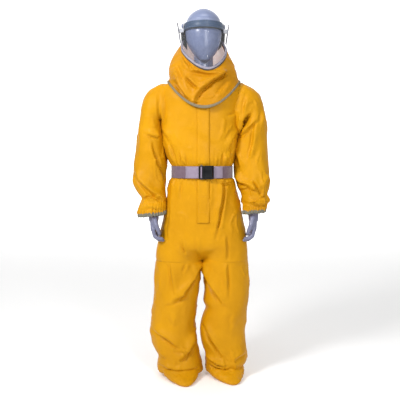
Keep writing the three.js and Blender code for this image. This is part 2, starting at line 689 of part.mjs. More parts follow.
/** The dark gusset between the ring's end and the helmet, behind the visor's edge. */
function sideSeal(side) {
  const [z0, z1] = [ringZ(RING_WRAP + 0.1) - 1.2, BAND_BOTTOM_Z - GAP];
  const shape = new THREE.Shape();
  shape.moveTo(0, 0);
  shape.lineTo(13, 8);
  shape.lineTo(18, z1 - z0 - 4);
  shape.lineTo(-4, z1 - z0);
  shape.closePath();
  const plate = new THREE.ExtrudeGeometry(shape, { depth: SEAL_WALL, bevelEnabled: false });
  plate.rotateX(Math.PI / 2).translate(RING_HALF_TEMPLE - 6, 0, z0);
  if (side > 0) {
    return plate.translate(0, SEAL_Y, 0);
  }
  return plate.rotateZ(Math.PI).translate(0, SEAL_Y - SEAL_WALL, 0);
}

// ---------------------------------------------------------------- helmet

/** The brow band, with a lip along its lower edge and a hole at each temple for the visor's pivot. */
function browBand() {
  const sections = roundAngles(BAND_SIDES).map((angle) => {
    const at = (out, z) => {
      const [x, y] = oval(angle, BAND_HALF + out, BAND_FRONT + out, BAND_BACK + out);
      return vec(x, y, z);
    };
    const lip = BAND_LIP * Math.max(0, Math.cos(angle)) ** 1.5;
    return [
      at(-BAND_WALL, BAND_BOTTOM_Z),
      at(lip, BAND_BOTTOM_Z),
      at(lip, BAND_BOTTOM_Z + 4),
      at(0, BAND_BOTTOM_Z + 9),
      at(-2, BAND_TOP_Z - 3),
      at(-4, BAND_TOP_Z),
      at(-BAND_WALL - 5, BAND_TOP_Z),
      at(-BAND_WALL - 2, BAND_TOP_Z - 5),
      at(-BAND_WALL, BAND_TOP_Z - 12),
    ];
  });
  const hole = asSolid(barAlongX(-BAND_HALF - 10, BAND_HALF + 10, 0, PIVOT_Z, KNOB_SHAFT + RUNNING_GAP));
  return asGeometry(asSolid(skin(sections, true)).subtract(hole));
}

/** The dome's half width, depth and height at a share of the way up. */
function domeLevel(share, inset) {
  const round = (1 - share ** 2.6) ** (1 / 2.2);
  return levelSection({
    z: mix(BAND_TOP_Z + GAP, DOME_TOP_Z - inset, share),
    half: Math.max(2, (DOME_HALF - inset) * round),
    front: Math.max(2, (DOME_DEPTH - inset) * round),
    back: Math.max(2, (DOME_DEPTH + 4 - inset) * round),
    count: DOME_SIDES,
  });
}

/** The helmet's thin dome, which stands on the brow band. */
function helmetShell() {
  const shares = [0, 0.3, 0.55, 0.75, 0.88, 0.96, 1];
  const outer = asSolid(skin(shares.map((share) => domeLevel(share, 0))));
  const hollow = asSolid(skin(shares.map((share) => domeLevel(share, DOME_WALL))).translate(0, 0, -CUT_PAST));
  const mouth = asSolid(skin([-2, 0.2].map((rise) => levelSection({
    z: BAND_TOP_Z + GAP + rise,
    half: DOME_HALF - DOME_WALL,
    front: DOME_DEPTH - DOME_WALL,
    back: DOME_DEPTH + 4 - DOME_WALL,
    count: DOME_SIDES,
  }))));
  return asGeometry(outer.subtract(hollow).subtract(mouth));
}

/** The headband inside the brow band. */
function headband() {
  const inner = BAND_WALL + GAP;
  const low = BAND_BOTTOM_Z;
  const sections = roundAngles(BAND_SIDES).map((angle) => {
    const at = (inset, z) => {
      const [x, y] = oval(angle, BAND_HALF - inset, BAND_FRONT - inset, BAND_BACK - inset);
      return vec(x, y, z);
    };
    const far = inner + HEADBAND_WALL;
    return [at(inner, low), at(inner, low + HEADBAND_HEIGHT), at(far, low + HEADBAND_HEIGHT), at(far, low)];
  });
  return skin(sections, true);
}

/** A crown strap: it stands on the headband at both ends and arches over the head. */
function crownStrap(half, foot, rise, along) {
  const low = BAND_BOTTOM_Z + HEADBAND_HEIGHT + GAP;
  const section = (reach, z, wall, drop) => {
    const corner = (inset, across) => {
      const out = reach - wall * inset;
      return along ? vec(across, out, z - drop * inset) : vec(out, across, z - drop * inset);
    };
    return [corner(0, -9), corner(0, 9), corner(1, 9), corner(1, -9)];
  };
  const arch = spread(-1.45, 1.45, 13).map((angle) => {
    const reach = half * Math.sign(Math.sin(angle)) * Math.abs(Math.sin(angle)) ** 0.8;
    const z = low + rise * Math.cos(angle) ** 0.8;
    return section(reach, z, STRAP_WALL * Math.sin(angle), STRAP_WALL * Math.cos(angle));
  });
  return skin([section(-foot, low, -STRAP_WALL, 0), ...arch, section(foot, low, STRAP_WALL, 0)]);
}

/** The sweatband pad across the forehead, between the headband and the head. */
function sweatband() {
  const far = BAND_WALL + GAP + HEADBAND_WALL + GAP;
  const step = (2 * Math.PI) / BAND_SIDES;
  const sections = spread(-5 * step, 5 * step, 11).map((angle) => {
    const outer = oval(angle, BAND_HALF - far, BAND_FRONT - far, BAND_FRONT - far);
    const inner = oval(angle, HEAD_HALF - GAP, HEAD_DEPTH - GAP, HEAD_DEPTH - GAP);
    const [low, high] = [BAND_BOTTOM_Z - 4, BAND_BOTTOM_Z + HEADBAND_HEIGHT];
    return [vec(...outer, low), vec(...outer, high), vec(...inner, high), vec(...inner, low)];
  });
  return skin(sections);
}

/** The ratchet knob that tightens the headband at the nape. */
function ratchetKnob() {
  const knob = new THREE.CylinderGeometry(15, 16, 9, 16);
  return knob.translate(0, BAND_BACK + GAP + 9 / 2, BAND_BOTTOM_Z + 16);
}

/** The bracket that carries the visor on its pivot. */
function pivotBracket(side) {
  const outer = visorHalfAt(PIVOT_Z - 32) - VISOR_WALL - 1.2;
  const disc = asSolid(barAlongX(BRACKET_INNER, BRACKET_INNER + BRACKET_WALL, 0, PIVOT_Z, 15));
  const arm = asSolid(block([BRACKET_INNER, -12, PIVOT_Z - 32], [outer, 10, PIVOT_Z - 13]));
  const hole = asSolid(barAlongX(BRACKET_INNER - 1, outer + 1, 0, PIVOT_Z, KNOB_SHAFT + RUNNING_GAP));
  const solid = disc.add(arm).subtract(hole);
  return asGeometry(side > 0 ? solid : solid.rotate([0, 0, 180]));
}

/** The pivot knob: its head clamps the bracket and its shaft turns in the brow band. */
function pivotKnob(side) {
  const face = BRACKET_INNER + BRACKET_WALL + GAP;
  const outer = face + KNOB_HEAD;
  const head = asSolid(barAlongX(face, outer, 0, PIVOT_Z, KNOB_RADIUS, 24));
  const shaft = asSolid(barAlongX(BAND_HALF - BAND_WALL + 0.6, face + 1, 0, PIVOT_Z, KNOB_SHAFT));
  const slot = asSolid(block([outer - 1.2, -1, PIVOT_Z - 7], [outer + 1, 1, PIVOT_Z + 7]));
  const solid = head.add(shaft).subtract(slot);
  return asGeometry(side > 0 ? solid : solid.rotate([0, 0, 180]));
}

// ---------------------------------------------------------------- display form

/** The egg-shaped head form, grown by a distance. */
function headForm(grow = 0) {
  const levels = [
    [1, 0.03, 0.03, 8],
    [0.985, 0.24, 0.26, 8],
    [0.94, 0.48, 0.5, 7],
    [0.86, 0.7, 0.72, 5],
    [0.76, 0.86, 0.87, 3],
    [0.65, 1, 1, 0],
    [0.53, 0.985, 0.98, -4],
    [0.41, 0.92, 0.9, -10],
    [0.29, 0.79, 0.76, -18],
    [0.18, 0.61, 0.56, -28],
    [0.09, 0.41, 0.38, -38],
    [0.025, 0.2, 0.2, -46],
    [0, 0.03, 0.03, -48],
  ];
  return skin(levels.map(([share, half, depth, y]) => levelSection({
    z: mix(CHIN_Z, HEAD_TOP_Z, share) + grow * (share * 2 - 1),
    y,
    half: HEAD_HALF * half + grow,
    front: HEAD_DEPTH * depth + grow,
    count: 24,
  })));
}

/** The neck form between the coverall's neck base and the head. */
function neckForm() {
  const column = skin([
    levelSection({ z: NECK_BASE_Z + GAP, half: NECK_RADIUS, front: NECK_RADIUS }),
    levelSection({ z: NECK_BASE_Z + 60, half: NECK_RADIUS - 4, front: NECK_RADIUS - 4 }),
    levelSection({ z: mix(CHIN_Z, HEAD_TOP_Z, 0.42), y: 4, half: NECK_RADIUS - 4, front: NECK_RADIUS - 4 }),
  ]).translate(HEAD_X, NECK_Y, 0);
  const head = headForm(GAP).rotateZ(HEAD_YAW).translate(HEAD_X, 0, 0);
  return asGeometry(asSolid(column).subtract(asSolid(head)));
}

/** A hand form with curled fingers, its wrist in the cuff. The palm faces the thigh. */
function handForm(side, { cuffX, cuffY }) {
  const top = CUFF_Z - GAP;
  const levels = [
    { drop: 0, half: WRIST_RADIUS - 5, depth: WRIST_RADIUS },
    { drop: 22, half: WRIST_RADIUS - 7, depth: WRIST_RADIUS - 2 },
    { drop: 38, half: 18, depth: 31 },
    { drop: 58, half: 19, depth: 38 },
    { drop: 78, half: 16, depth: 37 },
    { drop: 90, half: 10, depth: 32 },
  ];
  const palm = levels.map(({ drop, half, depth }) => (
    levelSection({ z: top - drop, half, front: depth, count: 16 })
  ));
  const knuckles = top - 80;
  const parts = [skin(palm)];
  const fingers = [[8.4, 28], [9, 33], [8.6, 31], [7.4, 25]];
  fingers.forEach(([radius, length], finger) => {
    const y = -26 + finger * 17;
    const bend = knuckles - length;
    parts.push(capsule(vec(-2, y, knuckles), vec(0, y, bend), radius));
    parts.push(capsule(vec(0, y, bend), vec(-HAND_CURL, y - 2, bend - 2), radius - 0.8));
  });
  parts.push(capsule(vec(-6, -26, knuckles + 20), vec(-14, -40, knuckles - 4), 9));
  parts.push(capsule(vec(-14, -40, knuckles - 4), vec(-16, -38, knuckles - 22), 7.5));
  const hand = unite(parts);
  const turned = side > 0 ? hand : hand.mirror([1, 0, 0]);
  return asGeometry(turned).translate(BODY_X + side * cuffX, cuffY, 0);
}

// ---------------------------------------------------------------- assembly

const sides = [
  {
    name: 'right',
    side: -1,
    arm: {
      cuffX: ARM_ROOT + 35,
      cuffY: -60,
      upperX: ARM_ROOT + 48,
      upperHalf: 58,
      elbowX: ARM_ROOT + SLEEVE_HALF - 25,
      puffX: ARM_ROOT + 45,
      puffHalf: 65,
      dip: 12,
    },
    limb: { sway: 22, hemHalf: LEG_HALF + 2, forward: -14, turn: 0.17 },
  },
  {
    name: 'left',
    side: 1,
    arm: {
      cuffX: ARM_ROOT + 50,
      cuffY: -56,
      upperX: ARM_ROOT + 54,
      upperHalf: 61,
      elbowX: ARM_ROOT + SLEEVE_HALF - 32,
      puffX: ARM_ROOT + 54,
      puffHalf: 63,
      dip: 3,
    },
    limb: { sway: -16, hemHalf: LEG_HALF - 12, forward: 8, turn: 0.2 },
  },
];

piece('coverall_body', coverallBody(), suitFabric);
for (const { name, side, arm, limb } of sides) {
  piece(`sleeve_${name}`, sleeve(side, arm), suitFabric);
  piece(`cuff_${name}`, cuffBand(side, arm), elasticKnit);
  piece(`display_hand_${name}`, handForm(side, arm), formGloss);
  piece(`leg_${name}`, leg(side, limb), suitFabric);
  piece(`bootee_${name}`, bootee(side, limb), suitFabric);
  piece(`zip_tape_${name}`, zipTape(side), bindingTape);
}
piece('collar', collar(), suitFabric);
piece('storm_flap', stormFlap(), suitFabric);
piece('zip_slider', zipSlider(), zipMetal);
piece('zip_pull', zipPull(), zipMetal);

const strapStart = beltAngle(BUCKLE_RIGHT + 1);
const strapEnd = 2 * Math.PI + beltAngle(SOCKET_MOUTH - 1);
piece('belt_webbing', beltStrip(strapStart, strapEnd, 49, 0, BELT_WIDTH), webbing);
const secondLayer = BELT_WALL + GAP;
const tailEnd = beltAngle(BUCKLE_LEFT - GAP);
const foldStart = beltAngle(BUCKLE_RIGHT + GAP);
piece('belt_tail', beltStrip(beltAngle(BELT_TAIL_X), tailEnd, 7, secondLayer, BELT_LAYER_WIDTH), webbing);
piece('belt_fold', beltStrip(foldStart, beltAngle(BELT_FOLD_X), 6, secondLayer, BELT_LAYER_WIDTH), webbing);
piece('buckle_socket', buckleSocket(), blackPlastic);
piece('buckle_plug', bucklePlug(), blackPlastic);
piece('buckle_prong_upper', buckleProng(1), blackPlastic);
piece('buckle_prong_lower', buckleProng(-1), blackPlastic);
piece('belt_wrap', beltWrap(), webbing);

piece('cape', cape(), suitFabric);
piece('cape_hem_tape', capeHemTape(), bindingTape);
piece('hood_lining', hoodLining(), liningFabric);
piece('cape_clamp', ringStrip(CLAMP_LOW, CLAMP_HIGH), sealRubber, headGroup);
piece('visor_ring', ringStrip(RING_LOW, RING_HIGH), ringRubber, headGroup);
piece('visor', visor(), clearPlastic, headGroup);
piece('brow_band', browBand(), bandPlastic, headGroup);
piece('helmet_shell', helmetShell(), helmetPlastic, headGroup);
piece('headband', headband(), blackPlastic, headGroup);
piece('sweatband', sweatband(), liningFabric, headGroup);
const strapInset = BAND_WALL + GAP + 0.8;
piece('crown_strap_across', crownStrap(79, BAND_HALF - strapInset, 62, false), webbing, headGroup);
piece('crown_strap_along', crownStrap(88, BAND_FRONT - strapInset, 65, true), webbing, headGroup);
piece('ratchet_knob', ratchetKnob(), blackPlastic, headGroup);
for (const { name, side } of sides) {
  piece(`pivot_bracket_${name}`, pivotBracket(side), bracketPlastic, headGroup);
  piece(`pivot_knob_${name}`, pivotKnob(side), helmetPlastic, headGroup);
  piece(`side_seal_${name}`, sideSeal(side), sealRubber, headGroup);
}
piece('display_head', headForm(), formGloss, headGroup);
piece('display_neck', neckForm(), formGloss);

/** Set the suit over the origin: the middle of its box above x = y = 0, its soles on z = 0. */
function centre() {
  const middle = new THREE.Box3().setFromObject(group, true).getCenter(vec(0, 0, 0));
  group.position.set(-middle.x, -middle.y, 0);
}
centre();

export default group;
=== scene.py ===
"""Looks for the chemical protective suit: a draped yellow coverall, its belt, and a helmet with a visor.

Shapes are in millimetres from the display form's centre line, with -Y to the front; at() turns them into the
frame's metres. "right" and "left" are the wearer's, so the right side is at -X.
"""

import math

import bmesh
import bpy
import numpy as np
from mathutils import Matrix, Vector, noise


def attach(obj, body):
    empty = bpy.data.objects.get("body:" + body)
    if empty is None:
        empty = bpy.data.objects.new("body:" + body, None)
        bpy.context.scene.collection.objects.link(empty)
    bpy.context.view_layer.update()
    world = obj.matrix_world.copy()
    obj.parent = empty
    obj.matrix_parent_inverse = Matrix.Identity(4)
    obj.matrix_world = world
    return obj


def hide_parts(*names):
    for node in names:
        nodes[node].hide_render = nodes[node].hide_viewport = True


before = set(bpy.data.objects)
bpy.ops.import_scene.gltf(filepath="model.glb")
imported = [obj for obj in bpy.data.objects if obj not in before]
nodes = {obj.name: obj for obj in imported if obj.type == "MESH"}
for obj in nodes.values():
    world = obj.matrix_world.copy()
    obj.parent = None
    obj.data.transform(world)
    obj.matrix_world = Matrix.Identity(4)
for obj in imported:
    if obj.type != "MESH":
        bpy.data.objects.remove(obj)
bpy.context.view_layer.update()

MM = 0.001
DATUM = np.array((-1.5, 28.4, 0.0))  # from the form's centre line to the frame's origin
TURN = 2 * math.pi
SIDES = ((-1, "right"), (1, "left"))
TO_FRONT = (0, -1, 0)
FOLD_GAIN = 1.45  # every fold's height, against the height that its table gives
BODY_POWER = 2.4  # how square the body, the belt and the cape's hem are; 2 is an ellipse

WAIST_Z = 1010
CROTCH_Z = 575
HEM_Z = 45
LEG_MIDDLE = 114.5
LEG_HALF = 112.5
LEG_DEPTH = 103
SEAM_REACH = 14
NECK_BASE_Z = 1478
FLAP_X = 11
FLAP_HALF = 31
FLAP_BOTTOM_Z = 768
FLAP_TOP_Z = 1394
BELT_HALF = 149.2
BELT_FRONT = 130.8
BELT_BACK = 113.2
BODY_X = 5
BELT_WIDTH = 58
BELT_WALL = 2.4
BUCKLE_LEFT = -10
BUCKLE_MOUTH = 18
BUCKLE_RIGHT = 60
BUCKLE_GAP = 0.3
TAIL_WIDTH = 56
RING_FRONT_Z = 1490
RING_HALF = 113
RING_BACK_HALF = 102
RING_FRONT = 138
RING_BACK = 111
CAPE_X = 14
CAPE_HALF = 178
CAPE_FRONT = 142
CAPE_BACK = 138
CAPE_FRONT_Z = 1314
CAPE_BACK_Z = 1336
SHOULDER_Z = 1445.5
VISOR_FOOT = np.array((114, 139, 100))  # half width, front and back
VISOR_TOP = np.array((129, 150, 100))
HEAD_X = 12
HEAD_YAW = math.radians(8)
BAND_TOP_Z = 1736
BAND_BOTTOM_Z = 1703
BAND_HALF = 98
BAND_FRONT = 104
BAND_BACK = 108
DOME_TOP_Z = 1809
PIVOT_Z = 1722
RATCHET_Z = 1719
HEAD_BOTTOM_Z = 1541
HEAD_HEIGHT = 240
CAPE_COLUMNS = 240
BODY_GRID = (190, 220)  # rows and columns
LEG_GRID = (130, 150)
SLEEVE_GRID = (130, 120)
BOOTEE_GRID = (34, 120)

# ------------------------------------------------------------------ points and meshes


def at(points):
    """Millimetres from the form's centre line, as metres in the frame."""
    return (np.asarray(points, float) + DATUM) * MM


def turned_with_head(points):
    """Points of the helmet, which faces a little to the wearer's left."""
    points = np.asarray(points, float)
    c, s = math.cos(HEAD_YAW), math.sin(HEAD_YAW)
    x, y = points[..., 0], points[..., 1]
    return np.stack((HEAD_X + x * c - y * s, x * s + y * c, points[..., 2]), -1)


def round_angles(count):
    """Angles once round a section, from the front."""
    return np.linspace(0, TURN, count, endpoint=False)


def unit(vectors):
    return vectors / np.maximum(np.linalg.norm(vectors, axis=-1, keepdims=True), 1e-9)


def distances(points):
    """The distance so far at each point of a line."""
    return np.concatenate(([0], np.cumsum(np.linalg.norm(np.diff(points, axis=0), axis=-1))))


def sample(where, keys, values):
    """Rows of values between rising keys, on straight lines."""
    return np.stack([np.interp(where, keys, column) for column in values.T], -1)


def glide(keys, values, where):
    """Values between rising keys, on a smooth curve through each of them."""
    keys, values = np.asarray(keys, float), np.asarray(values, float)
    slopes = np.gradient(values, keys, axis=0)
    i = np.clip(np.searchsorted(keys, where) - 1, 0, len(keys) - 2)
    span = (keys[i + 1] - keys[i])[:, None]
    t = (np.asarray(where)[:, None] - keys[i][:, None]) / span
    leave, arrive = slopes[i] * span, slopes[i + 1] * span
    return (
        (2 * t**3 - 3 * t**2 + 1) * values[i]
        + (t**3 - 2 * t**2 + t) * leave
        + (3 * t**2 - 2 * t**3) * values[i + 1]
        + (t**3 - t**2) * arrive
    )


def bend(value, power):
    return np.sign(value) * np.abs(value) ** (2 / power)


def oval(angle, half, front, back, power=2.0):
    """Points of a rounded rectangle. Angle 0 is the front; power 2 is an ellipse and more is squarer."""
    x = half * bend(np.sin(angle), power)
    y = bend(np.cos(angle), power)
    return x, np.where(y > 0, -front * y, -back * y)


def sections(count, half, front, back, power=2.0):
    """The x and y of a tube's rows, from a list of each size with a value for every row."""
    return oval(round_angles(count), half[:, None], front[:, None], back[:, None], power)


def ease(value, low, high):
    """0 below low, 1 above high and smooth between them."""
    t = np.clip((value - low) / (high - low), 0, 1)
    return t * t * (3 - 2 * t)


def outward(grid, closed=True):
    """Unit normals of a grid of points whose rows rise and whose columns run round by angle."""
    if closed:
        around = np.roll(grid, -1, 1) - np.roll(grid, 1, 1)
    else:
        around = np.gradient(grid, axis=1)
    return unit(np.cross(around, np.gradient(grid, axis=0)))


def placed(name, data):
    """A new object in the scene."""
    obj = bpy.data.objects.new(name, data)
    bpy.context.scene.collection.objects.link(obj)
    return obj


def dress(obj, look, replaced=None):
    """Give a piece its look: the CAD body that it rides on and its material. The look's slot is not used."""
    body, slot, material = look
    obj.data.materials.append(material)
    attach(obj, body)
    if replaced:
        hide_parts(replaced)
    return obj


def mesh_object(name, points, faces, look, uv=None, replaced=None):
    """A shown piece from points in millimetres."""
    mesh = bpy.data.meshes.new(name)
    mesh.from_pydata(at(points).tolist(), [], faces)
    mesh.shade_smooth()
    if uv is not None:
        layer = mesh.uv_layers.new(name="cloth")
        loops = np.array([loop.vertex_index for loop in mesh.loops])
        layer.data.foreach_set("uv", (np.asarray(uv) * MM)[loops].ravel())
    return dress(placed(name, mesh), look, replaced)


def grid_faces(rows, cols, closed):
    """Quads of a grid. A closed grid joins its last column to its first."""
    faces = []
    for i in range(rows - 1):
        for j in range(cols if closed else cols - 1):
            k = (j + 1) % cols
            faces.append((i * cols + j, i * cols + k, (i + 1) * cols + k, (i + 1) * cols + j))
    return faces


def cloth_uv(grid):
    """Distances across and along a grid, in millimetres."""
    across = np.linalg.norm(np.diff(grid, axis=1), axis=2).mean(0)
    along = np.linalg.norm(np.diff(grid, axis=0), axis=2).mean(1)
    u = np.concatenate(([0], np.cumsum(across)))
    v = np.concatenate(([0], np.cumsum(along)))
    return np.stack(np.meshgrid(u, v), -1)


def tube(name, grid, look, replaced=None):
    """A closed tube of cloth: rows of points that rise, with both ends capped."""
    rows, cols = grid.shape[:2]
    low, high = rows * cols, rows * cols + 1
    faces = grid_faces(rows, cols, True)
    for j in range(cols):
        k = (j + 1) % cols
        faces.append((low, k, j))
        faces.append((high, (rows - 1) * cols + j, (rows - 1) * cols + k))
    points = np.concatenate((grid.reshape(-1, 3), (grid[0].mean(0), grid[-1].mean(0))))
    uv = cloth_uv(grid).reshape(-1, 2)
    obj = mesh_object(name, points, faces, look, np.concatenate((uv, uv[[0, -1]])), replaced)
    for cap in obj.data.polygons[-2 * cols:]:
        cap.use_smooth = False
    return obj


def loop_strip(name, grid, closed, look, replaced=None):
    """A strip with a closed cross-section: rows run along it and columns run round its section."""
    rows, cols = grid.shape[:2]
    faces = grid_faces(rows, cols, True)
    last = (rows - 1) * cols
    if closed:
        faces += [(last + j, last + (j + 1) % cols, (j + 1) % cols, j) for j in range(cols)]
    else:
        faces += [tuple(reversed(range(cols))), tuple(range(last, rows * cols))]
    steps = np.linalg.norm(np.diff(grid, axis=0), axis=2).mean(1)
    along = np.concatenate(([0], np.cumsum(steps)))
    uv = np.stack(np.meshgrid(distances(grid[0]), along), -1).reshape(-1, 2)
    return face_out(mesh_object(name, grid.reshape(-1, 3), faces, look, uv, replaced))


def face_out(obj):
    """Turn all faces of a closed mesh to the outside."""
    bm = bmesh.new()
    bm.from_mesh(obj.data)
    bmesh.ops.recalc_face_normals(bm, faces=bm.faces)
    bm.to_mesh(obj.data)
    bm.free()
    return obj


def sheet_object(name, grid, wall, look, replaced=None):
    """A sheet of cloth with a little thickness behind its points."""
    back = grid - outward(grid, closed=False) * wall
    rows, cols = grid.shape[:2]
    count = rows * cols
    points = np.concatenate((grid.reshape(-1, 3), back.reshape(-1, 3)))
    faces = grid_faces(rows, cols, False)
    faces += [tuple(count + i for i in reversed(face)) for face in faces]
    edge = list(range(cols))
    edge += [i * cols + cols - 1 for i in range(1, rows)]
    edge += [(rows - 1) * cols + j for j in range(cols - 2, -1, -1)]
    edge += [i * cols for i in range(rows - 2, 0, -1)]
    faces += [(b, a, count + a, count + b) for a, b in zip(edge, edge[1:] + edge[:1])]
    uv = cloth_uv(grid).reshape(-1, 2)
    return mesh_object(name, points, faces, look, np.concatenate((uv, uv)), replaced)


def rounded(node, name, width, look):
    """A moulded piece: a CAD solid with its edges rounded off."""
    bm = bmesh.new()
    bm.from_mesh(nodes[node].data)
    bmesh.ops.remove_doubles(bm, verts=bm.verts, dist=0.02 * MM)
    bmesh.ops.dissolve_limit(bm, angle_limit=math.radians(2), verts=bm.verts, edges=bm.edges)
    sharp = [e for e in bm.edges if e.is_manifold and e.calc_face_angle(0) > math.radians(28)]
    round_off = dict(offset=width * MM, segments=3, profile=0.5, affect="EDGES", clamp_overlap=True)
    bmesh.ops.bevel(bm, geom=sharp, **round_off)
    mesh = bpy.data.meshes.new(name)
    bm.to_mesh(mesh)
    bm.free()
    mesh.shade_smooth()
    obj = placed(name, mesh)
    obj.modifiers.new("weighted", "WEIGHTED_NORMAL").keep_sharp = False
    return dress(obj, look, node)


def turned(name, centre, axis, profile, look, grips, depth, replaced):
    """A knob turned from a profile of (radius, distance along the axis), with finger grips round its rim."""
    side = unit(np.cross(axis, (0, 0, 1)))
    up = np.cross(side, axis)
    angles = round_angles(72)
    spokes = np.outer(np.cos(angles), side) + np.outer(np.sin(angles), up)
    grip = 0.5 + 0.5 * np.cos(grips * angles)
    rows = []
    for radius, along in profile:
        reach = radius * (1 - depth * grip * (radius > 4))
        rows.append(centre + axis * along + reach[:, None] * spokes)
    return face_out(tube(name, np.array(rows), look, replaced))


def stitch_row(name, line, normal, look, pitch=7.0, length=4.6):
    """A row of stitches along a line of points on cloth, each a small raised dash."""
    line = np.asarray(line, float)
    along = distances(line)
    count = max(2, int(along[-1] / pitch))
    where = (np.arange(count) + 0.5) * along[-1] / count
    tangent = unit(sample(where + 1, along, line) - sample(where - 1, along, line))
    up = unit(sample(where, along, np.broadcast_to(normal, line.shape)))
    side = np.cross(up, tangent)
    centre = sample(where, along, line) + up * 0.5
    ends = [centre + tangent * length * share for share in (-0.5, 0.5)]
    flanks = [centre + side * reach for reach in (-0.7, 0.7)]
    points = np.stack((*ends, *flanks, centre + up * 0.5, centre - up * 0.6), 1).reshape(-1, 3)
    faces = []
    for i in range(count):
        a, b, c, d, e, f = (6 * i + k for k in range(6))
        faces += [(a, c, e), (c, b, e), (b, d, e), (d, a, e), (c, a, f), (b, c, f), (d, b, f), (a, d, f)]
    return face_out(mesh_object(name, points, faces, look))


# ------------------------------------------------------------------ cloth shape


def ripple(points, size, seed, octaves=3):
    """Smooth noise from about -1 to 1, with features about as large as size."""
    places = np.asarray(points, float).reshape(-1, 3) / np.asarray(size, float) + seed * 19.7
    values = [noise.fractal(p, 1.0, 2.1, octaves) for p in places.tolist()]
    return np.array(values).reshape(np.asarray(points).shape[:-1])


def creased(points, size, seed):
    """Crisp thin ridges, 0 to 1, along the lines where smooth noise changes sign."""
    return np.clip(1 - 6 * np.abs(ripple(points, size, seed, 2)), 0, 1) ** 1.3


def fold(points, path, rise, width, steep=1, hold_start=False):
    """The height of one fold along a line in x and z: a crest with a shaded hollow on its steep side."""
    wobble = ripple(points, (55, 400, 55), 3.1 + rise, 2) * width * 0.35
    x, z = points[..., 0] + wobble, points[..., 2] - wobble
    path = np.asarray(path, float)
    begin = distances(path)
    nearest = np.full(x.shape, 1e9)
    offset = np.zeros_like(x)
    share = np.zeros_like(x)
    for (x0, z0), (x1, z1), so_far, step in zip(path[:-1], path[1:], begin, np.diff(begin)):
        dx, dz = (x1 - x0) / step, (z1 - z0) / step
        along = (x - x0) * dx + (z - z0) * dz
        clipped = np.clip(along, 0, step)
        across = (x - x0) * dz - (z - z0) * dx
        away = np.hypot(x - x0 - clipped * dx, z - z0 - clipped * dz)
        closer = away < nearest
        nearest = np.where(closer, away, nearest)
        offset = np.where(closer, np.sign(across) * away, offset)
        share = np.where(closer, (so_far + clipped) / begin[-1], share)
    taper = np.sin(math.pi * np.clip(share, 0.02, 0.98)) ** 0.7
    if hold_start:
        taper = np.where(share < 0.5, 1.0, taper)
    u = offset * steep / width
    crest = np.exp(-((u / np.where(u > 0, 0.42, 1.25)) ** 2))
    hollow = 0.8 * np.exp(-(((u - 0.85) / 0.45) ** 2))
    return FOLD_GAIN * rise * taper * (crest - hollow)


def sculpt(grid, front, back):
    """Lay folds on the front and the back of a piece. A table's row holds what fold() takes after points."""
    normal = outward(grid)
    height = np.zeros(grid.shape[:2])
    for folds, facing in ((front, -normal[..., 1]), (back, normal[..., 1])):
        for one in folds:
            height += fold(grid, *one) * ease(facing, 0.0, 0.45)
    return grid + normal * height[..., None]


def crumple(grid, amount, seed, stretch=1.6):
    """Broad slack and small sharp creases over a piece of cloth. amount may vary over the piece."""
    normal = outward(grid)
    slack = ripple(grid, (110, 110, 110 * stretch), seed) * 4.6
    patches = ease(ripple(grid, (120, 120, 150), seed + 5, 2), -0.1, 0.35)
    sharp = creased(grid, (78, 78, 88 * stretch), seed + 2) * 4.6 * patches
    fine = creased(grid, (28, 28, 38), seed + 7) * 1.3 * patches
    return grid + normal * ((slack + sharp + fine) * amount)[..., None]


def gathers(grid, level, reach, rise, pitch, seed):
    """Pleats that radiate from an elastic or a belt at a height, fading above and below it."""
    normal = outward(grid)
    columns = np.linalg.norm(np.diff(grid, axis=1, append=grid[:, :1]), axis=2).mean(0)
    around = np.cumsum(columns)
    uneven = ripple(np.stack((around, 0 * around, 0 * around), -1), (pitch * 2.3,) * 3, seed, 2)
    pleat = np.cos(TURN * around / pitch + 2.6 * uneven)
    sharp = np.sign(pleat) * np.abs(pleat) ** 0.7
    fade = np.exp(-np.abs(grid[..., 2] - level) / reach)
    stray = 0.55 + 0.9 * np.abs(ripple(grid, (40, 40, 60), seed + 1, 2))
    return grid + normal * (rise * fade * sharp[None, :] * stray)[..., None]


def level_grid(stations, size, power):
    """A tube through level stations of (z, left edge, right edge, front, back)."""
    rows, cols = size
    stations = np.array(stations, float)
    heights = np.linspace(stations[0, 0], stations[-1, 0], rows)
    left, right, front, back = glide(stations[:, 0], stations[:, 1:], heights).T
    x, y = sections(cols, (right - left) / 2, front, back, power)
    z = np.repeat(heights[:, None], cols, 1)
    return np.stack((x + ((left + right) / 2)[:, None], y, z), -1)


def front_line(grid, xs, zs):
    """Points on the front of a tube at given x and z."""
    facing_y = outward(grid)[..., 1]
    heights = grid[..., 2].mean(1)
    points = []
    for x, z in zip(xs, zs):
        row = int(np.clip(np.searchsorted(heights, z), 1, len(heights) - 1))
        share = np.clip((z - heights[row - 1]) / (heights[row] - heights[row - 1]), 0, 1)
        level = grid[row - 1] * (1 - share) + grid[row] * share
        facing = np.flatnonzero(facing_y[row] < -0.05)
        order = facing[np.argsort(level[facing, 0])]
        points.append((x, np.interp(x, level[order, 0], level[order, 1]), z))
    return np.array(points)


# ------------------------------------------------------------------ materials


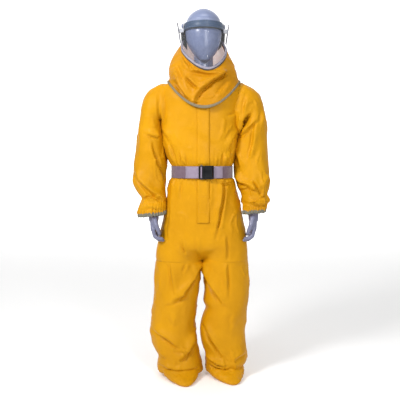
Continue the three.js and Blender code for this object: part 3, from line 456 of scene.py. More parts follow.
class Shader:
    """A material under construction, with short calls for the nodes that the looks below share."""

    def __init__(self, name, roughness=0.5, **surface):
        self.material = bpy.data.materials.new(name)
        self.material.use_nodes = True
        self.tree = self.material.node_tree
        self.surface = self.tree.nodes["Principled BSDF"]
        for socket, value in {"Roughness": roughness, **surface}.items():
            self.give(socket.replace("_", " "), value)
        self.place = self.stretched((1, 1, 1))

    def feed(self, socket, value):
        """Link a node's output to an input, or set the input to a plain value."""
        if isinstance(value, bpy.types.NodeSocket):
            self.tree.links.new(value, socket)
        elif socket.type == "RGBA":
            socket.default_value = (*value, 1.0)
        else:
            socket.default_value = value

    def give(self, socket, value):
        """Feed an input of the surface."""
        self.feed(self.surface.inputs[socket], value)

    def node(self, kind, inputs=None, **settings):
        made = self.tree.nodes.new("ShaderNode" + kind)
        for key, value in settings.items():
            setattr(made, key, value)
        for key, value in (inputs or {}).items():
            self.feed(made.inputs[key], value)
        return made

    def stretched(self, scale):
        """The point on the piece in metres, times a scale."""
        point = self.node("TexCoord").outputs["Object"]
        return self.node("Mapping", {"Vector": point, "Scale": scale}).outputs["Vector"]

    def speckle(self, scale, detail=3.0, rough=0.55, place=None):
        inputs = {"Vector": place or self.place, "Scale": scale, "Detail": detail, "Roughness": rough}
        return self.node("TexNoise", inputs).outputs["Fac"]

    def stripes(self, pitch, direction, distortion=0.0):
        """Even ribs a distance apart, in metres along or across the cloth."""
        cloth = self.node("UVMap", uv_map="cloth").outputs["UV"]
        inputs = {"Vector": cloth, "Scale": 0.314 / pitch, "Distortion": distortion}
        return self.node("TexWave", inputs, bands_direction=direction).outputs["Fac"]

    def between(self, value, low, high, new_low=0.0, new_high=1.0):
        inputs = {"Value": value, "From Min": low, "From Max": high, "To Min": new_low, "To Max": new_high}
        return self.node("MapRange", inputs).outputs["Result"]

    def patches(self, scale, detail=3.0, rough=0.55, low=0.3, high=0.7, top=1.0):
        """Cloudy patches from 0 to top."""
        return self.between(self.speckle(scale, detail, rough), low, high, 0.0, top)

    def sums(self, a, b):
        return self.node("Math", {0: a, 1: b}, operation="ADD").outputs["Value"]

    def mixed(self, share, first, second):
        inputs = {"Factor": share, 6: first, 7: second}  # 6 and 7 are the node's two colours
        return self.node("Mix", inputs, data_type="RGBA").outputs[2]

    def gloss(self, scale, low, high, detail=3.0):
        """Roughness in patches between two values."""
        self.give("Roughness", self.between(self.speckle(scale, detail), 0.3, 0.7, low, high))

    def relief(self, *layers):
        """Bump layers of (height, strength, depth in metres)."""
        inputs = {}
        for height, strength, depth in layers:
            inputs.update({"Height": height, "Strength": strength, "Distance": depth})
            inputs["Normal"] = self.node("Bump", inputs).outputs["Normal"]
        self.give("Normal", inputs["Normal"])


def lit(colour, gain, lift=0.0):
    """A colour made paler, or darker by a gain below 1."""
    return tuple(min(1.0, c * gain + lift) for c in colour)


def suit_cloth(name, deep, bright):
    """Coated woven cloth: a fine weave under a smooth coat, with paler rubbed patches."""
    sheen = dict(Sheen_Weight=0.02, Sheen_Roughness=0.4, Sheen_Tint=(1.0, 0.8, 0.45))
    s = Shader(name, Specular_IOR_Level=0.13, **sheen)
    scuffs = s.patches(38.0, 5.0, 0.7, 0.52, 0.78, 0.22)
    s.give("Base Color", s.mixed(scuffs, s.mixed(s.patches(5.0, 4.0), deep, bright), lit(bright, 1.18, 0.01)))
    s.gloss(24.0, 0.4, 0.56, 4.0)
    weave = s.sums(s.stripes(0.0016, "X"), s.stripes(0.0016, "Y"))
    slubs, grain = s.speckle(60.0, 5.0, 0.6), s.speckle(300.0, 2.0)
    s.relief((slubs, 0.30, 0.0012), (grain, 0.18, 0.0004), (weave, 0.16, 0.0002))
    return s.material


def knit(name, dark, pale, pitch):
    """Ribbed or plain woven tape, with painted shade that darkens the hollows between its ribs."""
    s = Shader(name, 0.85, Sheen_Weight=0.06, Specular_IOR_Level=0.2)
    ribs = s.sums(s.stripes(pitch, "Y"), s.stripes(pitch * 0.6, "X", 1.0))
    # painted shade: the colour runs from dark in the ribs' hollows to pale on their crests
    s.give("Base Color", s.mixed(s.between(ribs, 0.4, 1.8), dark, pale))
    s.gloss(150.0, 0.75, 0.95)
    s.relief((ribs, 0.7, 0.0005), (s.speckle(420.0), 0.3, 0.0003))
    return s.material


def webbing(name, dark, pale):
    """Tightly woven belt webbing with ribs along it, in patches of paler and darker tone, and painted shade
    that darkens the hollows between the ribs.
    """
    s = Shader(name, 0.7, Sheen_Weight=0.35, Sheen_Roughness=0.35)
    weave = s.sums(s.stripes(0.0034, "X"), s.stripes(0.0016, "Y", 1.5))
    tone = s.mixed(s.patches(55.0, 4.0, low=0.35, top=0.5), dark, pale)
    # painted shade: the colour darkens where the weave's bump sinks
    s.give("Base Color", s.mixed(s.between(weave, 0.2, 1.9), lit(dark, 0.72), tone))
    s.gloss(90.0, 0.6, 0.82)
    s.relief((weave, 0.75, 0.0006), (s.speckle(500.0), 0.25, 0.0002))
    return s.material


def moulded(name, colour, roughness, grain=0.25, coat=0.0, wear=0.12, shine=0.4):
    """Moulded plastic: a fine grain, faint flow marks and rubbed spots."""
    s = Shader(name, roughness, Coat_Weight=coat, Coat_Roughness=0.08, Specular_IOR_Level=shine)
    flow = s.between(s.speckle(9.0, 4.0, place=s.stretched((1, 1, 4))), 0.3, 0.75)
    rubbed = s.patches(70.0, 6.0, 0.7, 0.58, 0.8, wear * 3)
    marked = s.mixed(flow, colour, lit(colour, 1.22, 0.012))
    s.give("Base Color", s.mixed(rubbed, marked, lit(colour, 1.5, 0.03)))
    s.gloss(45.0, roughness * 0.85, roughness * 1.25, 5.0)
    s.relief((s.speckle(900.0, 2.0), grain, 0.00012), (s.speckle(14.0), 0.06, 0.002))
    return s.material


def rubber(name, colour):
    """Soft rubber with a dusty bloom."""
    s = Shader(name, 0.75)
    s.give("Base Color", s.mixed(s.patches(26.0, 5.0, 0.65, 0.4, 0.75), colour, lit(colour, 1.25, 0.02)))
    s.gloss(60.0, 0.6, 0.85)
    s.relief((s.speckle(350.0), 0.3, 0.0003), (s.speckle(30.0), 0.15, 0.001))
    return s.material


def painted_form(name, colour, roughness):
    """Glossy paint sprayed on the display form, with a trace of orange peel."""
    s = Shader(name, roughness, Coat_Weight=0.12, Coat_Roughness=0.2, Specular_IOR_Level=0.4)
    s.give("Base Color", s.mixed(s.patches(7.0), colour, lit(colour, 1.14)))
    s.gloss(30.0, roughness * 0.8, roughness * 1.3, 4.0)
    s.relief((s.speckle(160.0, 2.0), 0.05, 0.0006))
    return s.material


def brushed_lining(name):
    """Soft pale lining with a nap. It glows a little: painted light, an emission that brightens the lining
    where the hood shades it.
    """
    # painted light: the emission stands in for light that the hood keeps from the lining
    glow = dict(Emission_Color=(1.0, 0.84, 0.80), Emission_Strength=0.3)
    s = Shader(name, 0.9, Sheen_Weight=0.3, Sheen_Roughness=0.6, **glow)
    tone = s.patches(12.0, 4.0, low=0.35)
    s.give("Base Color", s.mixed(tone, (0.88, 0.70, 0.65), (0.98, 0.93, 0.90)))
    s.gloss(80.0, 0.8, 0.98)
    s.relief((s.speckle(260.0, 4.0, 0.7), 0.5, 0.0006))
    return s.material


def clear_sheet(name, colour, alpha):
    """Clear polished plastic sheet with faint handling marks."""
    s = Shader(name, 0.05, Specular_IOR_Level=0.5)
    marks = s.speckle(18.0, 6.0, 0.7)
    s.give("Base Color", s.mixed(s.between(marks, 0.3, 0.7), colour, lit(colour, 0.94)))
    s.give("Roughness", s.between(marks, 0.35, 0.75, 0.03, 0.12))
    s.give("Alpha", s.between(marks, 0.3, 0.8, alpha, alpha * 1.6))
    s.relief((s.speckle(6.0, 2.0), 0.05, 0.002))
    return s.material


def satin_metal(name):
    """Brushed zip metal."""
    s = Shader(name, 0.35, Metallic=1.0)
    streaks = s.speckle(1.0, 4.0, place=s.stretched((40, 40, 900)))
    s.give("Base Color", s.mixed(s.between(streaks, 0.3, 0.7), (0.42, 0.40, 0.36), (0.60, 0.58, 0.54)))
    s.give("Roughness", s.between(streaks, 0.3, 0.7, 0.28, 0.45))
    s.relief((streaks, 0.15, 0.0002))
    return s.material


yellow = suit_cloth("suit_cloth", (0.50, 0.222, 0.001), (0.60, 0.278, 0.002))
# the cape's cloth is the suit's cloth in painted shade: darker and less green, for the shade in the cape's
# folds
cape_yellow_painted_shade = suit_cloth("cape_cloth", (0.45, 0.188, 0.001), (0.55, 0.24, 0.002))
binding = knit("binding_tape", (0.17, 0.14, 0.085), (0.33, 0.275, 0.18), 0.0022)
cuff_knit = knit("cuff_knit", (0.13, 0.125, 0.09), (0.29, 0.27, 0.21), 0.0028)
belt_dark = webbing("belt_webbing", (0.16, 0.10, 0.138), (0.25, 0.175, 0.225))
belt_pale = webbing("belt_webbing_face", (0.33, 0.26, 0.35), (0.47, 0.40, 0.50))
black_plastic = moulded("black_plastic", (0.003, 0.0035, 0.005), 0.5, 0.2, 0.0, 0.01, 0.12)
dome_plastic = moulded("dome_plastic", (0.16, 0.19, 0.30), 0.3, 0.08, 0.1, 0.05)
band_plastic = moulded("band_plastic", (0.024, 0.050, 0.10), 0.36, 0.12, 0.0, 0.06, 0.25)
pale_plastic = moulded("bracket_plastic", (0.34, 0.35, 0.39), 0.3, 0.1, 0.1, 0.05)
seal_rubber = rubber("seal_rubber", (0.045, 0.045, 0.038))
ring_rubber = rubber("ring_rubber", (0.26, 0.24, 0.29))
form_paint = painted_form("form_paint", (0.115, 0.14, 0.24), 0.26)
hand_paint = painted_form("hand_paint", (0.15, 0.155, 0.235), 0.34)
lining_cloth = brushed_lining("lining_cloth")
visor_clear = clear_sheet("visor_clear", (0.72, 0.75, 0.82), 0.022)
# visor edge: the clear sheet tinted dark grey and nearly opaque, painted shade for the edge-on look of clear
# plastic
visor_edge_painted_shade = clear_sheet("visor_edge_painted_shade", (0.13, 0.13, 0.17), 0.62)
zip_metal = satin_metal("zip_metal")
thread = moulded("thread", (0.62, 0.30, 0.02), 0.6, 0.4)
grey_thread = moulded("grey_thread", (0.22, 0.18, 0.20), 0.6, 0.4)

# A look is the CAD body that a piece rides on, its slot and its material.
suit_look = ("suit", "suit_fabric", yellow)
stitching = ("suit", "suit_fabric", thread)
rubber_look = ("suit", "seal_rubber", seal_rubber)

# ------------------------------------------------------------------ coverall


# Levels are (z, left edge, right edge, front, back). Folds are (line in x and z, rise, width, steep side,
# full height at the line's start), and the last two may be left out.

BODY_LEVELS = [
    (CROTCH_Z, -222, 232, 116, 122),
    (636, -217, 228, 121, 122),
    (695, -206, 222, 122, 122),
    (755, -194, 213, 122, 122),
    (844, -177, 195, 123, 122),
    (903, -166, 178, 123, 122),
    (955, -156, 165, 122, 120),
    (978, -147, 156, 121, 114),
    (1010, -143, 152, 120, 110),
    (1040, -145, 154, 121, 113),
    (1066, -160, 163, 125, 121),
    (1120, -180, 174, 124, 122),
    (1235, -197, 182, 122, 122),
    (1320, -200, 189, 120, 119),
    (1380, -200, 202, 117, 115),
    (1410, -196, 204, 104, 107),
    (1430, -189, 197, 88, 98),
    (1447, -151, 161, 76, 86),
    (1461, -99, 109, 70, 80),
    (NECK_BASE_Z, -71, 81, 66, 76),
]

BODY_FOLDS = [
    ([(75, 985), (115, 958), (155, 977)], 7, 12),
    ([(99, 975), (97, 903), (83, 800), (66, 705)], 10, 15, -1, True),
    ([(122, 960), (112, 871), (92, 760), (80, 690)], 6, 11),
    ([(51, 965), (43, 879), (40, 800)], 4, 9),
    ([(-133, 972), (-146, 837), (-155, 700)], 5, 13),
    ([(-100, 968), (-108, 880)], 4, 10, -1),
    ([(-100, 1110), (-88, 1050)], 6, 9),
    ([(-78, 1092), (-72, 1046)], 4, 7, -1),
    ([(-161, 1146), (-130, 1060)], 7, 12, -1),
    ([(115, 1100), (107, 1048)], 6, 9),
    ([(141, 1112), (126, 1048)], 6, 10, -1),
    ([(70, 1086), (66, 1048)], 3, 7),
    ([(186, 1225), (150, 1180), (128, 1120)], 8, 15, -1),
    ([(176, 1290), (130, 1270)], 4, 15),
    ([(-190, 1225), (-150, 1170)], 5, 15),
    ([(-89, 690), (-69, 612), (-52, 585)], 5, 10),
    ([(-112, 660), (-57, 588)], 5, 10, -1),
    ([(-13, 700), (-17, 644), (-5, 578)], 4, 7),
    ([(115, 712), (118, 640), (119, 578)], 6, 13, -1),
    ([(-60, 1240), (40, 1180), (120, 1150)], 2.5, 40),
]

BODY_BACK_FOLDS = [
    ([(-120, 1340), (-60, 1200), (-50, 1080)], 7, 30),
    ([(130, 1340), (70, 1210), (60, 1080)], 7, 30, -1),
    ([(-70, 700), (0, 640), (70, 700)], 8, 20),
]

LEG_RIGHT_LEVELS = [
    (HEM_Z - 20, -212, 13, 112, 86),
    (HEM_Z, -217, 11, 113, 86),
    (71, -216, 7, 116, 86),
    (100, -213, -2, 110, 84),
    (130, -228, -10, 106, 82),
    (160, -242, -17, 102, 84),
    (190, -249, -20, 99, 87),
    (219, -257, -25, 97, 88),
    (249, -253, -29, 96, 88),
    (309, -247, -25, 98, 90),
    (368, -238, -19, 99, 91),
    (428, -233, -11, 98, 94),
    (487, -231, -6, 99, 98),
    (545, -225, 0, 102, 101),
    (CROTCH_Z - 0.5, -222, 4, 103, 103),
    (CROTCH_Z + 55, -206, -18, 88, 88),
]

LEG_RIGHT_FOLDS = [
    ([(-1, 566), (-45, 492), (-93, 420), (-148, 382)], 15, 21, -1, True),
    ([(-153, 600), (-133, 492), (-117, 410)], 6, 14),
    ([(-60, 590), (-84, 520)], 4, 11),
    ([(-240, 247), (-165, 211), (-77, 147)], 9, 18),
    ([(-140, 152), (-62, 142)], 4, 10),
    ([(-23, 218), (-61, 147), (-112, 96)], 12, 18, -1),
    ([(-212, 75), (-120, 56), (-20, 62)], 6, 13),
    ([(-205, 135), (-170, 110)], 5, 12),
    ([(-150, 330), (-128, 262)], 3, 22),
]

LEG_LEFT_LEVELS = [
    (HEM_Z - 20, 22, 200, 94, 100),
    (HEM_Z, 20, 207, 93, 100),
    (71, 19, 226, 96, 100),
    (100, 18, 229, 94, 98),
    (130, 13, 227, 91, 96),
    (160, 3, 224, 90, 95),
    (190, -2, 222, 90, 95),
    (219, -4, 219, 90, 95),
    (249, -3, 222, 90, 96),
    (309, 11, 227, 92, 98),
    (338, 22, 230, 92, 98),
    (368, 12, 236, 93, 98),
    (428, 19, 241, 95, 99),
    (487, 15, 238, 98, 100),
    (545, 9, 233, 102, 102),
    (CROTCH_Z - 0.5, 4, 232, 103, 103),
    (CROTCH_Z + 55, 24, 218, 88, 88),
]

LEG_LEFT_FOLDS = [
    ([(7, 552), (51, 460), (110, 376)], 13, 19, 1, True),
    ([(119, 600), (123, 492), (128, 405)], 7, 13, -1),
    ([(11, 272), (51, 211), (91, 139), (118, 110)], 10, 17),
    ([(23, 200), (85, 120)], 5, 11, -1),
    ([(15, 105), (60, 88), (120, 74)], 8, 11),
    ([(20, 84), (75, 66), (135, 58)], 7, 10),
    ([(150, 100), (215, 130)], 5, 16),
    ([(165, 330), (150, 240)], 3, 22),
]

# A sleeve's stations run up from its cuff: x, y, z, half width, depth and lean in degrees.

SLEEVE_RIGHT_STATIONS = [
    (-233, -58, 800, 60, 46, -7),
    (-235, -56, 812, 66, 54, -5),
    (-236, -52, 832, 67, 60, -3),
    (-231, -44, 852, 64, 60, 0),
    (-226, -34, 874, 60, 60, 3),
    (-240, -22, 903, 68, 64, 4),
    (-250, -12, 933, 75, 70, 2),
    (-255, -4, 963, 83, 75, 0),
    (-254, 2, 992, 82, 78, 0),
    (-250, 8, 1062, 82, 78, 1),
    (-250, 8, 1120, 73, 78, 3),
    (-248, 6, 1180, 65, 78, 6),
    (-246, 4, 1235, 58, 79, 14),
    (-243, 2, 1292, 58, 80, 32),
    (-222, 0, 1322, 90, 82, 62),
    (-196, 0, 1326, 112, 84, 84),
    (-150, 0, 1330, 114, 70, 88),
]

SLEEVE_RIGHT_FOLDS = [
    ([(-262, 1200), (-198, 1183)], 7, 13),
    ([(-254, 1165), (-232, 1092), (-196, 996), (-178, 918)], 9, 18, -1),
    ([(-322, 1022), (-297, 971), (-246, 923), (-182, 883)], 11, 17),
    ([(-236, 902), (-172, 873)], 8, 11),
    ([(-286, 862), (-246, 880), (-200, 892)], 9, 12, -1),
    ([(-292, 838), (-240, 846), (-186, 838)], 5, 10),
    ([(-306, 1290), (-292, 1180), (-300, 1080)], 3, 22),
    ([(-216, 1400), (-212, 1300), (-205, 1225)], 5, 14, -1),
]

SLEEVE_LEFT_STATIONS = [
    (259, -56, 811, 54, 44, 6),
    (262, -54, 824, 60, 54, 5),
    (264, -48, 846, 64, 60, 3),
    (266, -38, 870, 68, 62, 0),
    (261, -22, 903, 67, 64, -3),
    (259, -10, 933, 78, 70, -2),
    (257, 0, 963, 84, 75, 0),
    (252, 4, 992, 86, 78, 0),
    (249, 8, 1062, 86, 78, 1),
    (250, 8, 1120, 80, 78, 2),
    (252, 6, 1180, 73, 78, 5),
    (254, 4, 1235, 66, 79, 12),
    (255, 2, 1292, 60, 80, 30),
    (232, 0, 1318, 92, 82, 60),
    (206, 0, 1320, 118, 84, 82),
    (156, 0, 1326, 118, 70, 88),
]

SLEEVE_LEFT_FOLDS = [
    ([(238, 1302), (199, 1258), (186, 1208), (168, 1190)], 9, 15, -1),
    ([(275, 1276), (216, 1213), (172, 1182)], 8, 14, -1),
    ([(266, 1250), (257, 1181), (236, 1070)], 8, 15),
    ([(188, 1186), (178, 1100), (196, 1024)], 8, 14),
    ([(160, 1000), (197, 962), (250, 945)], 11, 14),
    ([(238, 962), (282, 893)], 9, 13, -1),
    ([(184, 926), (229, 939), (286, 920)], 8, 12),
    ([(212, 870), (270, 855), (328, 866)], 10, 11),
    ([(198, 850), (262, 868), (322, 888)], 6, 9, -1),
    ([(332, 1000), (300, 945)], 8, 15, -1),
    ([(226, 1400), (214, 1330), (206, 1280)], 6, 13),
    ([(305, 1330), (296, 1240)], 4, 20),
]


def mirrored(folds, middle):
    """The same folds for the back of a piece, turned over and softened."""
    softened = []
    for path, rise, width, *rest in folds:
        steep = rest[0] if rest else 1
        softened.append(([(2 * middle - x, z) for x, z in path], rise * 0.8, width, -steep))
    return softened


def onto_legs(grid):
    """Draw the lowest part of the body in to the outline of the two legs that it runs into."""
    share = (1 - ease(grid[..., 2], CROTCH_Z + 2, CROTCH_Z + 100))[..., None]
    drawn = grid.copy()
    middle = np.abs(grid[..., 0] - BODY_X)
    lobe = np.sqrt(np.clip(1 - ((middle - LEG_MIDDLE) / LEG_HALF) ** 2, 0, 1))
    bridge = (0.3 + 0.66 * ease(grid[..., 2], CROTCH_Z, CROTCH_Z + 75)) * (middle < LEG_MIDDLE)
    drawn[..., 1] = np.sign(grid[..., 1]) * LEG_DEPTH * np.maximum(lobe, bridge)
    return grid * (1 - share) + drawn * share


def calm(grid, plain):
    """Fade the folds out towards the height where the legs are sewn to the body."""
    share = np.exp(-((np.abs(grid[..., 2] - CROTCH_Z) / SEAM_REACH) ** 2))[..., None]
    return grid * (1 - share) + plain * share


def coverall_body():
    """The body from crotch to neck base, cinched by the belt and bloused above it."""
    plain = onto_legs(level_grid(BODY_LEVELS, BODY_GRID, BODY_POWER))
    grid = sculpt(plain, BODY_FOLDS, mirrored(BODY_FOLDS, BODY_X) + BODY_BACK_FOLDS)
    middle = np.exp(-(((grid[..., 0] - FLAP_X) / 60) ** 4)) * (grid[..., 1] < 0)
    grid = crumple(grid, 0.95 - 0.6 * middle, 1.0)
    grid = gathers(grid, WAIST_Z - 30, 26, 3.2, 27, 2.0)
    grid = gathers(grid, WAIST_Z + 30, 26, 3.4, 25, 4.0)
    grid = calm(grid, plain)
    under_belt = ease(30 - np.abs(grid[..., 2] - WAIST_Z), -7, 2)[..., None]
    return grid * (1 - under_belt) + plain * under_belt


def leg_grid(side, levels, folds):
    """A trouser leg from its hem up to the crotch, with the folds that hang from the crotch and the knee."""
    plain = level_grid(levels, LEG_GRID, 2.0)
    grid = sculpt(plain, folds, mirrored(folds, side * 118 + BODY_X))
    low = 1 - ease(grid[..., 2], 80, 260)
    grid = calm(crumple(grid, 0.95 + 0.5 * low, 1.0), plain)
    return gathers(grid, HEM_Z - 20, 34, 2.6, 44, 11.0 + side)


def bootee_grid(side):
    """The sock below the hem: a soft foot with a turned sole edge and creases across the instep."""
    x, forward, turn = (-106, -14, 0.17) if side < 0 else (116, 8, 0.2)
    rows, cols = BOOTEE_GRID
    stations = np.array([  # height, half width, middle and half length
        (0, 58, -48, 128),
        (3, 62, -48, 133),
        (9, 70, -48, 136),
        (18, 80, -44, 131),
        (30, 86, -34, 118),
        (44, 90, -22, 98),
        (58, 84, -14, 84),
    ], float)
    levels = np.linspace(0, stations[-1, 0], rows)
    half, middle, depth = glide(stations[:, 0], stations[:, 1:], levels).T
    px, py = sections(cols, half, depth, depth, 2.2)
    py = py + middle[:, None]
    toe = ease(-py, 60, 180)
    px = px * (1 - 0.22 * toe) + 6 * toe
    grid = np.stack((px, py, np.repeat(levels[:, None], cols, 1)), -1)
    lift = ease(grid[..., 2], 4, 18)
    wrinkle = creased(grid, (60, 22, 40), 21 + side) * 2.4 + ripple(grid, (40, 40, 30), 23 + side) * 2.6
    grid = grid + outward(grid) * (wrinkle * lift)[..., None]
    c, s = math.cos(turn), math.sin(turn)
    gx, gy, gz = grid[..., 0], grid[..., 1], grid[..., 2]
    return np.stack((x + gx * c - gy * s, forward + gx * s + gy * c, np.maximum(gz, 0.2)), -1)


def sleeve_grid(side, stations, folds):
    """A sleeve from its cuff up to the armhole, sagging into folds at the elbow and above the cuff."""
    rows, cols = SLEEVE_GRID
    stations = np.array(stations, float)
    keys = distances(stations[:, :3])
    values = glide(keys, stations, np.linspace(0, keys[-1], rows))
    x, y, z, half, depth, lean = values.T[..., None]
    across, out = sections(cols, half[:, 0], depth[:, 0], depth[:, 0])
    lean = np.radians(lean) * side
    grid = np.stack((x + across * np.cos(lean), y + out, z + across * np.sin(lean)), -1)
    grid = sculpt(grid, folds, mirrored(folds, 250 * side))
    low = 1 - ease(grid[..., 2], 900, 1010)
    grid = crumple(grid, 1.1 + 0.6 * low, 14.0 + side, 1.5)
    return gathers(grid, 812, 30, 6.0, 19, 17.0 + side)


def cuff_trim(side, sleeve):
    """The elastic trim along the end of a sleeve, gathered by the stitching."""
    low = sleeve[2]
    away = unit((low - low.mean(0)) * (1, 1, 0))
    wave = ripple(low, (15, 15, 15), 31 + side, 2)[:, None]
    profile = [(0.8, 8), (2.4, 5), (2.8, -1), (1.8, -7), (-0.5, -11), (-4, -12), (-6, -7), (-6, 4)]
    upright = np.array((0, 0, 1))
    rings = [low + away * (out + 2.2 * wave) + upright * (up + 3.2 * wave) for out, up in profile]
    return np.stack(rings, 1)


def make_coverall():
    body = coverall_body()
    tube("coverall_cloth", body, suit_look, "coverall_body")
    sleeves = ((SLEEVE_RIGHT_STATIONS, SLEEVE_RIGHT_FOLDS), (SLEEVE_LEFT_STATIONS, SLEEVE_LEFT_FOLDS))
    legs = ((LEG_RIGHT_LEVELS, LEG_RIGHT_FOLDS), (LEG_LEFT_LEVELS, LEG_LEFT_FOLDS))
    for (side, name), sleeve_tables, leg_tables in zip(SIDES, sleeves, legs):
        sleeve = sleeve_grid(side, *sleeve_tables)
        tube(f"sleeve_cloth_{name}", sleeve, suit_look, f"sleeve_{name}")
        cuff_look = ("suit", "elastic_knit", cuff_knit)
        loop_strip(f"cuff_trim_{name}", cuff_trim(side, sleeve), True, cuff_look, f"cuff_{name}")
        leg = leg_grid(side, *leg_tables)
        tube(f"leg_cloth_{name}", leg, suit_look, f"leg_{name}")
        tube(f"bootee_cloth_{name}", bootee_grid(side), suit_look, f"bootee_{name}")
        row = int(np.argmin(np.abs(leg[:, 0, 2] - HEM_Z + 6)))
        stitch_row(f"hem_stitches_{name}", leg[row], outward(leg)[row], stitching)
    return body


# ------------------------------------------------------------------ front closure


def storm_flap(body):
    """The flap down the front, lying on the body, with stitched edges and a box of stitches at its foot."""
    heights = np.linspace(FLAP_BOTTOM_Z, FLAP_TOP_Z, 150)
    across = np.linspace(-FLAP_HALF, FLAP_HALF, 15) + FLAP_X
    xs, zs = np.meshgrid(across, heights)
    grid = front_line(body, xs.ravel(), zs.ravel()).reshape(*xs.shape, 3)
    edge = np.clip((FLAP_HALF - np.abs(xs - FLAP_X)) / 10, 0, 1)
    under_belt = ease(34 - np.abs(zs - WAIST_Z), -8, 2)
    stand = 1.6 + 4.4 * edge**0.5 * (1 - 0.85 * under_belt)
    pucker = ripple(grid, (30, 200, 34), 40.0, 2) * 0.9 * (1 - under_belt)
    grid[..., 1] -= stand + pucker
    flap = face_out(sheet_object("flap_cloth", grid, 1.5, suit_look, "storm_flap"))
    stitch_row("flap_stitches_right", grid[:, 2], TO_FRONT, stitching)
    stitch_row("flap_stitches_left", grid[:, -3], TO_FRONT, stitching)
    box = [(2, 12), (12, 12), (12, 30), (2, 30)]
    for number, (start, end) in enumerate(zip(box, box[1:] + box[:1])):
        steps = np.linspace(start, end, 12).round().astype(int)
        stitch_row(f"flap_box_stitches_{number}", grid[steps[:, 1], steps[:, 0]], TO_FRONT, stitching)


# ------------------------------------------------------------------ belt


def belt_angle(x):
    share = (x - BODY_X) / BELT_HALF
    return math.copysign(math.asin(abs(share) ** 1.2), share)


def belt_point(angle, out, up):
    """A point a distance out from the belt's inner face and up from its middle."""
    x, y = oval(angle, BELT_HALF + out, BELT_FRONT + out, BELT_BACK + out, BODY_POWER)
    return BODY_X + float(x), float(y), WAIST_Z + up


def belt_strip(name, start, end, offset, width, look, replaced, count):
    """Ribbed webbing round the waist between two angles, with rounded selvedges."""
    half = width / 2
    rib_turn = 1.57  # about a quarter turn from one point to the next, so four points make a rib
    profile = [(0, -half + 1), (BELT_WALL * 0.5, -half), (BELT_WALL, -half + 1)]
    profile += [(BELT_WALL + 0.25 * math.cos(k * rib_turn), k * half / 4.6) for k in range(-4, 5)]
    profile += [(BELT_WALL, half - 1), (BELT_WALL * 0.5, half), (0, half - 1), (0, 0)]
    angles = np.linspace(start, end, count)
    grid = np.array([[belt_point(angle, offset + out, up) for out, up in profile] for angle in angles])
    loop_strip(name, grid, False, look, replaced)


def make_belt():
    start, end = belt_angle(BUCKLE_RIGHT - 6), TURN + belt_angle(BUCKLE_MOUTH - 1)
    belt_strip("belt_band", start, end, 0, BELT_WIDTH, ("suit", "webbing", belt_dark), "belt_webbing", 160)
    second = BELT_WALL + BUCKLE_GAP
    layers = (
        ("tail", belt_angle(-71), belt_angle(BUCKLE_LEFT - BUCKLE_GAP), "buckle_plug", (-66, -60)),
        ("fold", belt_angle(BUCKLE_RIGHT - 1), belt_angle(100), "suit", (95, 89)),
    )
    for name, start, end, body, _ in layers:
        look = (body, "webbing", belt_pale)
        belt_strip(f"belt_{name}_band", start, end, second, TAIL_WIDTH, look, f"belt_{name}", 30)
    for name, _, _, body, seams in layers:
        look = (body, "webbing", grey_thread)
        for number, x in enumerate(seams):
            line = [belt_point(belt_angle(x), second + BELT_WALL, up) for up in np.linspace(-25, 25, 12)]
            stitch_row(f"belt_stitches_{name}_{number}", line, TO_FRONT, look, 4, 3)
    rounded("belt_wrap", "belt_wrap_band", 1.2, ("buckle_plug", "webbing", belt_pale))
    rounded("buckle_socket", "buckle_socket_shell", 1.3, ("suit", "black_plastic", black_plastic))
    rounded("buckle_plug", "buckle_plug_frame", 1.1, ("buckle_plug", "black_plastic", black_plastic))
    for name in ("upper", "lower"):
        node = f"buckle_prong_{name}"
        rounded(node, f"prong_{name}", 0.9, (node, "black_plastic", black_plastic))


# ------------------------------------------------------------------ hood


def ring_height(angle):
    """The height of the cape's top edge, which climbs from the chin to the brow band at the back."""
    turn = np.abs(np.arctan2(np.sin(angle), np.cos(angle)))
    start, power = 0.03, 0.725
    share = (np.sin(turn / 2) ** 2 + start) ** power - start**power
    share /= (1 + start) ** power - start**power
    climb = RING_FRONT_Z + (BAND_BOTTOM_Z - 7 - RING_FRONT_Z) * share
    return climb + 14 * ease(turn, 1.4, 1.9) * (1 - ease(turn, 1.9, 3))


def ring_point(angle, inset, rise):
    """Points above the cape's top edge, moved in by a distance, before the head's turn."""
    turn = np.abs(np.arctan2(np.sin(angle), np.cos(angle)))
    half = RING_HALF + (RING_BACK_HALF - RING_HALF) * ease(turn, 1.3, 2)
    x, y = oval(angle, half - inset, RING_FRONT - inset, RING_BACK - inset)
    return np.stack((x, y, ring_height(angle) + rise), -1)


def hem_point(angle, inset, rise):
    """Points of the cape's bottom edge, which hangs low in front and lies on the shoulders."""
    x, y = oval(angle, CAPE_HALF - inset, CAPE_FRONT - inset, CAPE_BACK - inset, BODY_POWER)
    low = np.where(np.cos(angle) > 0, CAPE_FRONT_Z, CAPE_BACK_Z)
    share = (x / (CAPE_HALF - inset)) ** 2
    return np.stack((CAPE_X + x, y, low + (SHOULDER_Z - low) * share + rise), -1)


def cape_grid(angles, inset=0.0, start=0.0, end=1.0, rows=90):
    """The cape from its hem up to its top edge. The wearer's right side bulges."""
    top = turned_with_head(ring_point(angles, inset, 0))
    bottom = hem_point(angles, inset, 1)
    t = np.linspace(end, start, rows)[:, None, None]
    grid = top[None] * (1 - t) + bottom[None] * t
    bulge = 26 * np.sin(math.pi * np.minimum(1, t[..., 0] * 1.15)) ** 1.2
    side = np.sin(angles)[None]
    grid[..., 0] += bulge * np.where(side < 0, 1.0, 0.35) * side
    face = np.cos(angles)[None]
    grid[..., 1] += np.where(face < 0, bulge * 0.35, -bulge * 0.1) * np.abs(face)
    return grid


